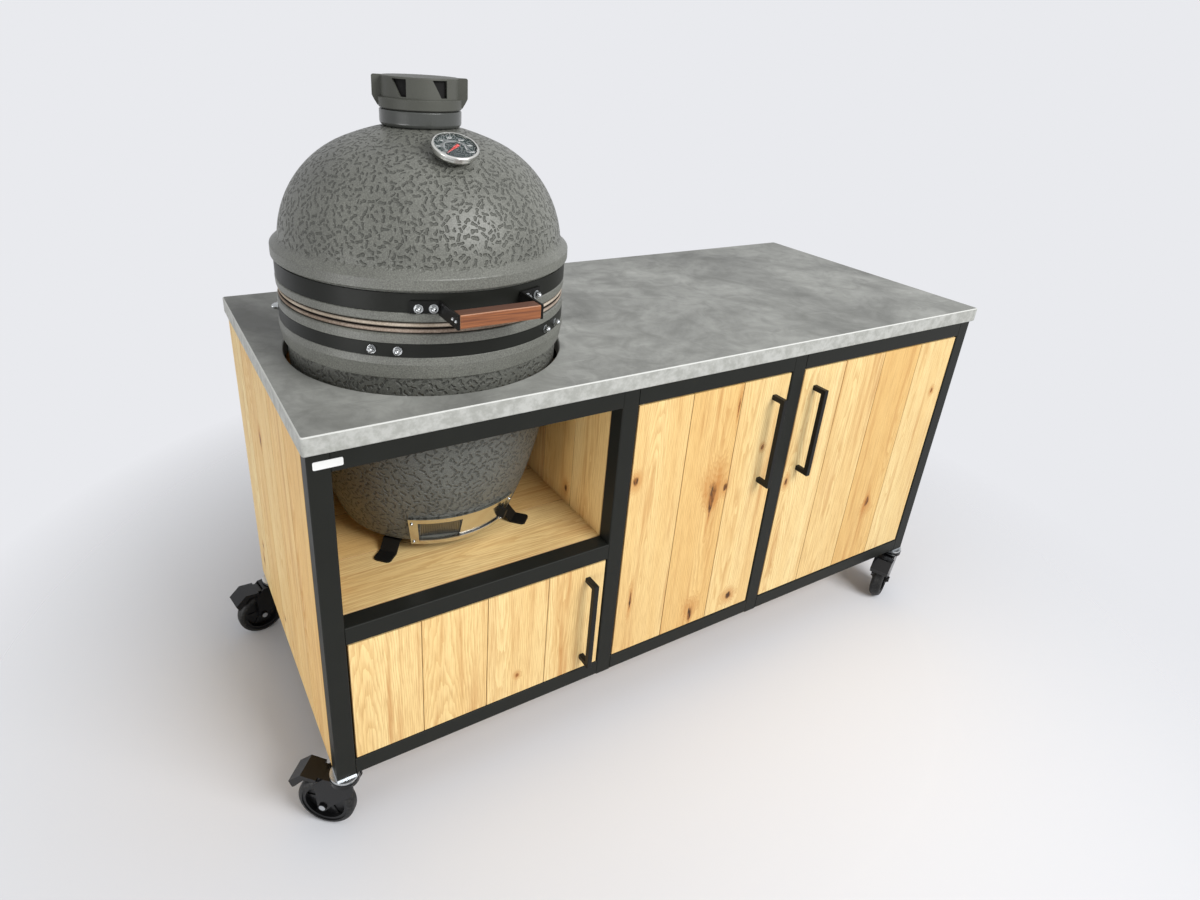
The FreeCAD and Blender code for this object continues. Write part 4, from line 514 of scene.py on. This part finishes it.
reading = next(j for j in frame["joints"] if j["name"] == "thermometer_reading")
dial_out = -Vector(reading["axis"])
dial_across = Vector((0, 0, 1)).cross(dial_out).normalized()
# The print lies on the dial, this high above the joint's point.
print_height = 0.01903
dial_frame = Matrix((dial_across, dial_out.cross(dial_across), dial_out)).transposed().to_4x4()
dial_frame.translation = Vector(reading["pos_m"]) + dial_out * print_height
print_white = finish("white_dial_print", "#eceeec", 0.5)[0]


def arc_strip(inner, outer, from_angle, to_angle, steps):
    # Flat strip on the dial; angles from the top of the dial, clockwise, in degrees.
    ring = []
    for i in range(steps + 1):
        turn = math.radians(from_angle + (to_angle - from_angle) * i / steps)
        ring.append((math.sin(turn), math.cos(turn)))
    corners = [(x * inner, y * inner, 0) for x, y in ring] + [(x * outer, y * outer, 0) for x, y in ring]
    faces = [(i, i + steps + 1, i + steps + 2, i + 1) for i in range(steps)]
    return corners, faces


def dial_print(name, corners, faces):
    mesh = bpy.data.meshes.new(name)
    mesh.from_pydata([Vector(c) for c in corners], [], faces)
    mesh.transform(dial_frame)
    made = bpy.data.objects.new(name, mesh)
    bpy.context.scene.collection.objects.link(made)
    made.data.materials.append(print_white)
    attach(made, "lid")


# The scale runs 120 degrees to each side of the top; radii in metres.
first_mark, mark_step, number_step = -120, 8, 40
number_radius, number_size = 0.0292, 0.0068
corners, faces = arc_strip(0.0192, 0.0199, first_mark, -first_mark, 60)
for i in range(31):
    turn = first_mark + mark_step * i
    mark_inner, mark_outer = (0.0212, 0.0228) if i % 5 else (0.0205, 0.0236)
    more, mark_faces = arc_strip(mark_inner, mark_outer, turn - 0.7, turn + 0.7, 1)
    faces += [tuple(len(corners) + k for k in f) for f in mark_faces]
    corners += more
dial_print("dial_scale_print", corners, faces)
for i, number in enumerate(("50", "100", "150", "200", "250", "300", "350")):
    turn = math.radians(first_mark + number_step * i)
    text = bpy.data.curves.new("dial_number", "FONT")
    text.body = number
    text.size = number_size
    text.align_x = "CENTER"
    text.align_y = "CENTER"
    source = bpy.data.objects.new("dial_number", text)
    bpy.context.scene.collection.objects.link(source)
    mesh = bpy.data.meshes.new_from_object(source.evaluated_get(bpy.context.evaluated_depsgraph_get()))
    bpy.data.objects.remove(source)
    shift = Vector((math.sin(turn) * number_radius, math.cos(turn) * number_radius, 0))
    dial_print("dial_number_" + number, [v.co + shift for v in mesh.vertices],
               [tuple(p.vertices) for p in mesh.polygons])

# Draft door at the foot of the base: a curved stainless frame with a sliding plate and wire mesh.
# Brushed along its length, so it mirrors the oak shelf in long streaks. Feet are flat black steel.
draft_steel = bright_metal("brushed_draft_steel", "#d6d6d3", 0.2, (60, 60, 1.5))
coat(draft_steel, "draft_frame", "draft_door")
coat(bright_metal("mesh_wire", "#9a9b98", 0.35, (5, 5, 5)), "ash_mesh")
coat(painted_steel("black_foot_paint", "#191918", 0.4, 0.08, 0.3), "kamado_feet", "draft_door_tab")

# Fire parts inside the base: cast firebox and ring of firebrick clay, and two iron grates.
# The clay is pale and gritty; the iron is seasoned dark.
firebrick, tree, shader = finish("firebrick_clay", "#b8a68c", 0.9)
place = add(tree, "ShaderNodeTexCoord").outputs["Object"]
grit = add(tree, "ShaderNodeTexNoise", {"Vector": place, "Scale": 120.0, "Detail": 6.0,
           "Roughness": 0.7})
wear(tree, shader, "Base Color", add(tree, "ShaderNodeMix", {"Factor": grit, "A": linear("#8d7c66"),
     "B": linear("#cdbb9f")}, data_type="RGBA"))
wear(tree, shader, "Normal", add(tree, "ShaderNodeBump", {"Height": grit, "Strength": 0.6,
     "Distance": 0.001}))
coat(firebrick, "firebox", "fire_ring")
coat(painted_steel("seasoned_iron", "#262422", 0.6, 0.1, 0.9), "charcoal_grate", "cooking_grate")

# Casters: pressed steel forks, painted glossy black, on zinc plated plates with a ball race.
# Wheels have a moulded black core and a dark rubber tyre; the brake pedal is a pressed plate.
pedal_paint = painted_steel("gloss_black_pedal", "#101011", 0.25, 0.05, 0.1, 0.3)
coat(zinc, "caster_mounts")
nut_radius, tread_radius = 0.0068, 0.0506


def off_axle(tree, corner):
    # Distance from the axle's line.
    roll = next(j for j in frame["joints"] if j["name"] == "roll_" + corner)
    place = add(tree, "ShaderNodeTexCoord").outputs["Object"]
    arm = add(tree, "ShaderNodeVectorMath", {0: place, 1: roll["pos_m"]}, operation="SUBTRACT")
    return add(tree, "ShaderNodeVectorMath", {0: add(tree, "ShaderNodeVectorMath", {
        0: arm, 1: roll["axis"]}, operation="CROSS_PRODUCT")}, operation="LENGTH").outputs["Value"]


for corner in ("front_left", "front_right", "rear_left", "rear_right"):
    coat(pedal_paint, "caster_pedal_" + corner)
    # The axle's nut is bare zinc.
    fork = painted_steel("gloss_black_fork_" + corner, "#0b0b0c", 0.2, 0.05, 0.1, 0.3)
    tree = fork.node_tree
    shader = tree.nodes["Principled BSDF"]
    nut = add(tree, "ShaderNodeMath", {0: off_axle(tree, corner), 1: nut_radius},
              operation="LESS_THAN")
    wear(tree, shader, "Base Color", add(tree, "ShaderNodeMix", {
        "Factor": nut, "A": shader.inputs["Base Color"].links[0].from_socket,
        "B": linear("#c3c6c8")}, data_type="RGBA"))
    wear(tree, shader, "Metallic", nut)
    coat(fork, "caster_fork_" + corner)
    tyre, tree, shader = finish("caster_wheel_rubber_" + corner, "#1c1c1c", 0.5, Specular_IOR_Level=0.3)
    # The tyre is scuffed rubber outside this radius; the core inside it is smooth plastic.
    rubber = add(tree, "ShaderNodeMath", {0: off_axle(tree, corner), 1: tread_radius},
                 operation="GREATER_THAN")
    scuff = add(tree, "ShaderNodeTexNoise", {"Vector": add(tree, "ShaderNodeTexCoord").outputs["Object"],
                "Scale": 180.0, "Detail": 5.0})
    scuffed = add(tree, "ShaderNodeMix", {"Factor": add(tree, "ShaderNodeMapRange", {
        "Value": scuff, "From Min": 0.45, "From Max": 0.65}), "A": linear("#141414"),
        "B": linear("#2c2c2b")}, data_type="RGBA")
    wear(tree, shader, "Base Color", add(tree, "ShaderNodeMix", {"Factor": rubber,
         "A": linear("#0f0f10"), "B": scuffed}, data_type="RGBA"))
    wear(tree, shader, "Roughness", add(tree, "ShaderNodeMapRange", {"Value": rubber, "To Min": 0.3,
         "To Max": 0.5}))
    coat(tyre, "caster_wheel_" + corner)

# Studio: a pale floor that keeps the shadow and fades into a backdrop of the same grey.
# A broad lamp in front, weaker ones overhead, low at the left and before the niche, and even light.
backdrop = "#e9eaee"
floor_mesh = bpy.data.meshes.new("studio_floor")
floor_mesh.from_pydata([(-8, -8, 0), (8, -8, 0), (8, 8, 0), (-8, 8, 0)], [], [(0, 1, 2, 3)])
floor = bpy.data.objects.new("studio_floor", floor_mesh)
bpy.context.scene.collection.objects.link(floor)
floor_paint, tree, shader = finish("pale_floor", "#e4e5e9", 0.9, Specular_IOR_Level=0.0)
place = add(tree, "ShaderNodeTexCoord").outputs["Object"]
far = add(tree, "ShaderNodeMapRange", {"Value": add(tree, "ShaderNodeVectorMath", {0: place},
          operation="LENGTH").outputs["Value"], "From Min": 0.95, "From Max": 1.9})
fade = add(tree, "ShaderNodeMixShader", {0: far, 1: shader.outputs[0],
           2: add(tree, "ShaderNodeBsdfTransparent").outputs[0]})
tree.links.new(fade.outputs[0], tree.nodes["Material Output"].inputs["Surface"])
floor.data.materials.append(floor_paint)

world = bpy.data.worlds.new("studio_world")
world.use_nodes = True
bpy.context.scene.world = world
tree = world.node_tree
tree.nodes.clear()
path = add(tree, "ShaderNodeLightPath")
seen = add(tree, "ShaderNodeMath", {0: path.outputs["Is Camera Ray"], 1: add(tree, "ShaderNodeMath", {
    0: path.outputs["Is Glossy Ray"], 1: path.outputs["Is Transmission Ray"]}, operation="MAXIMUM")},
    operation="MAXIMUM")
even = add(tree, "ShaderNodeBackground", {"Color": linear("#ffffff"), "Strength": 0.4})
shown = add(tree, "ShaderNodeBackground", {"Color": linear(backdrop), "Strength": 1.0})
both = add(tree, "ShaderNodeMixShader", {0: seen, 1: even.outputs[0], 2: shown.outputs[0]})
add(tree, "ShaderNodeOutputWorld", {"Surface": both.outputs[0]})


def lamp(name, place, aim, size, power, spread=180.0):
    light = bpy.data.lights.new(name, "AREA")
    light.shape = "RECTANGLE"
    light.size, light.size_y = size
    light.spread = math.radians(spread)
    light.energy = power
    made = bpy.data.objects.new(name, light)
    bpy.context.scene.collection.objects.link(made)
    made.location = place
    made.rotation_euler = (Vector(aim) - Vector(place)).to_track_quat("-Z", "Y").to_euler()


lamp("front_lamp", (0.8, -3.2, 3.1), (-0.1, 0.0, 0.7), (2.2, 1.6), 140.0)
lamp("top_lamp", (0.0, -0.6, 3.8), (0.0, 0.0, 0.8), (3.0, 2.5), 12.0)
lamp("left_lamp", (-3.7, -1.0, 0.35), (-0.9, 0.0, 0.35), (1.8, 0.6), 8.5, 80.0)
lamp("niche_lamp", (-1.9, -1.9, 0.55), (-0.42, -0.1, 0.62), (0.6, 0.5), 0.42, 40.0)

# Camera at the photograph's place: about 1.5 m up, in front of the kamado's left corner.
camera = bpy.data.cameras.new("camera")
camera.sensor_width = 36.0
camera.lens = 22.418
camera.shift_x = 0.03316
camera.shift_y = -0.0452
eye = bpy.data.objects.new("camera", camera)
bpy.context.scene.collection.objects.link(eye)
eye.location = (-1.0953, -1.4421, 1.5331)
eye.rotation_euler = [math.radians(a) for a in (64.881, -3.304, -30.463)]
bpy.context.scene.camera = eye
bpy.context.scene.view_settings.view_transform = "Standard"
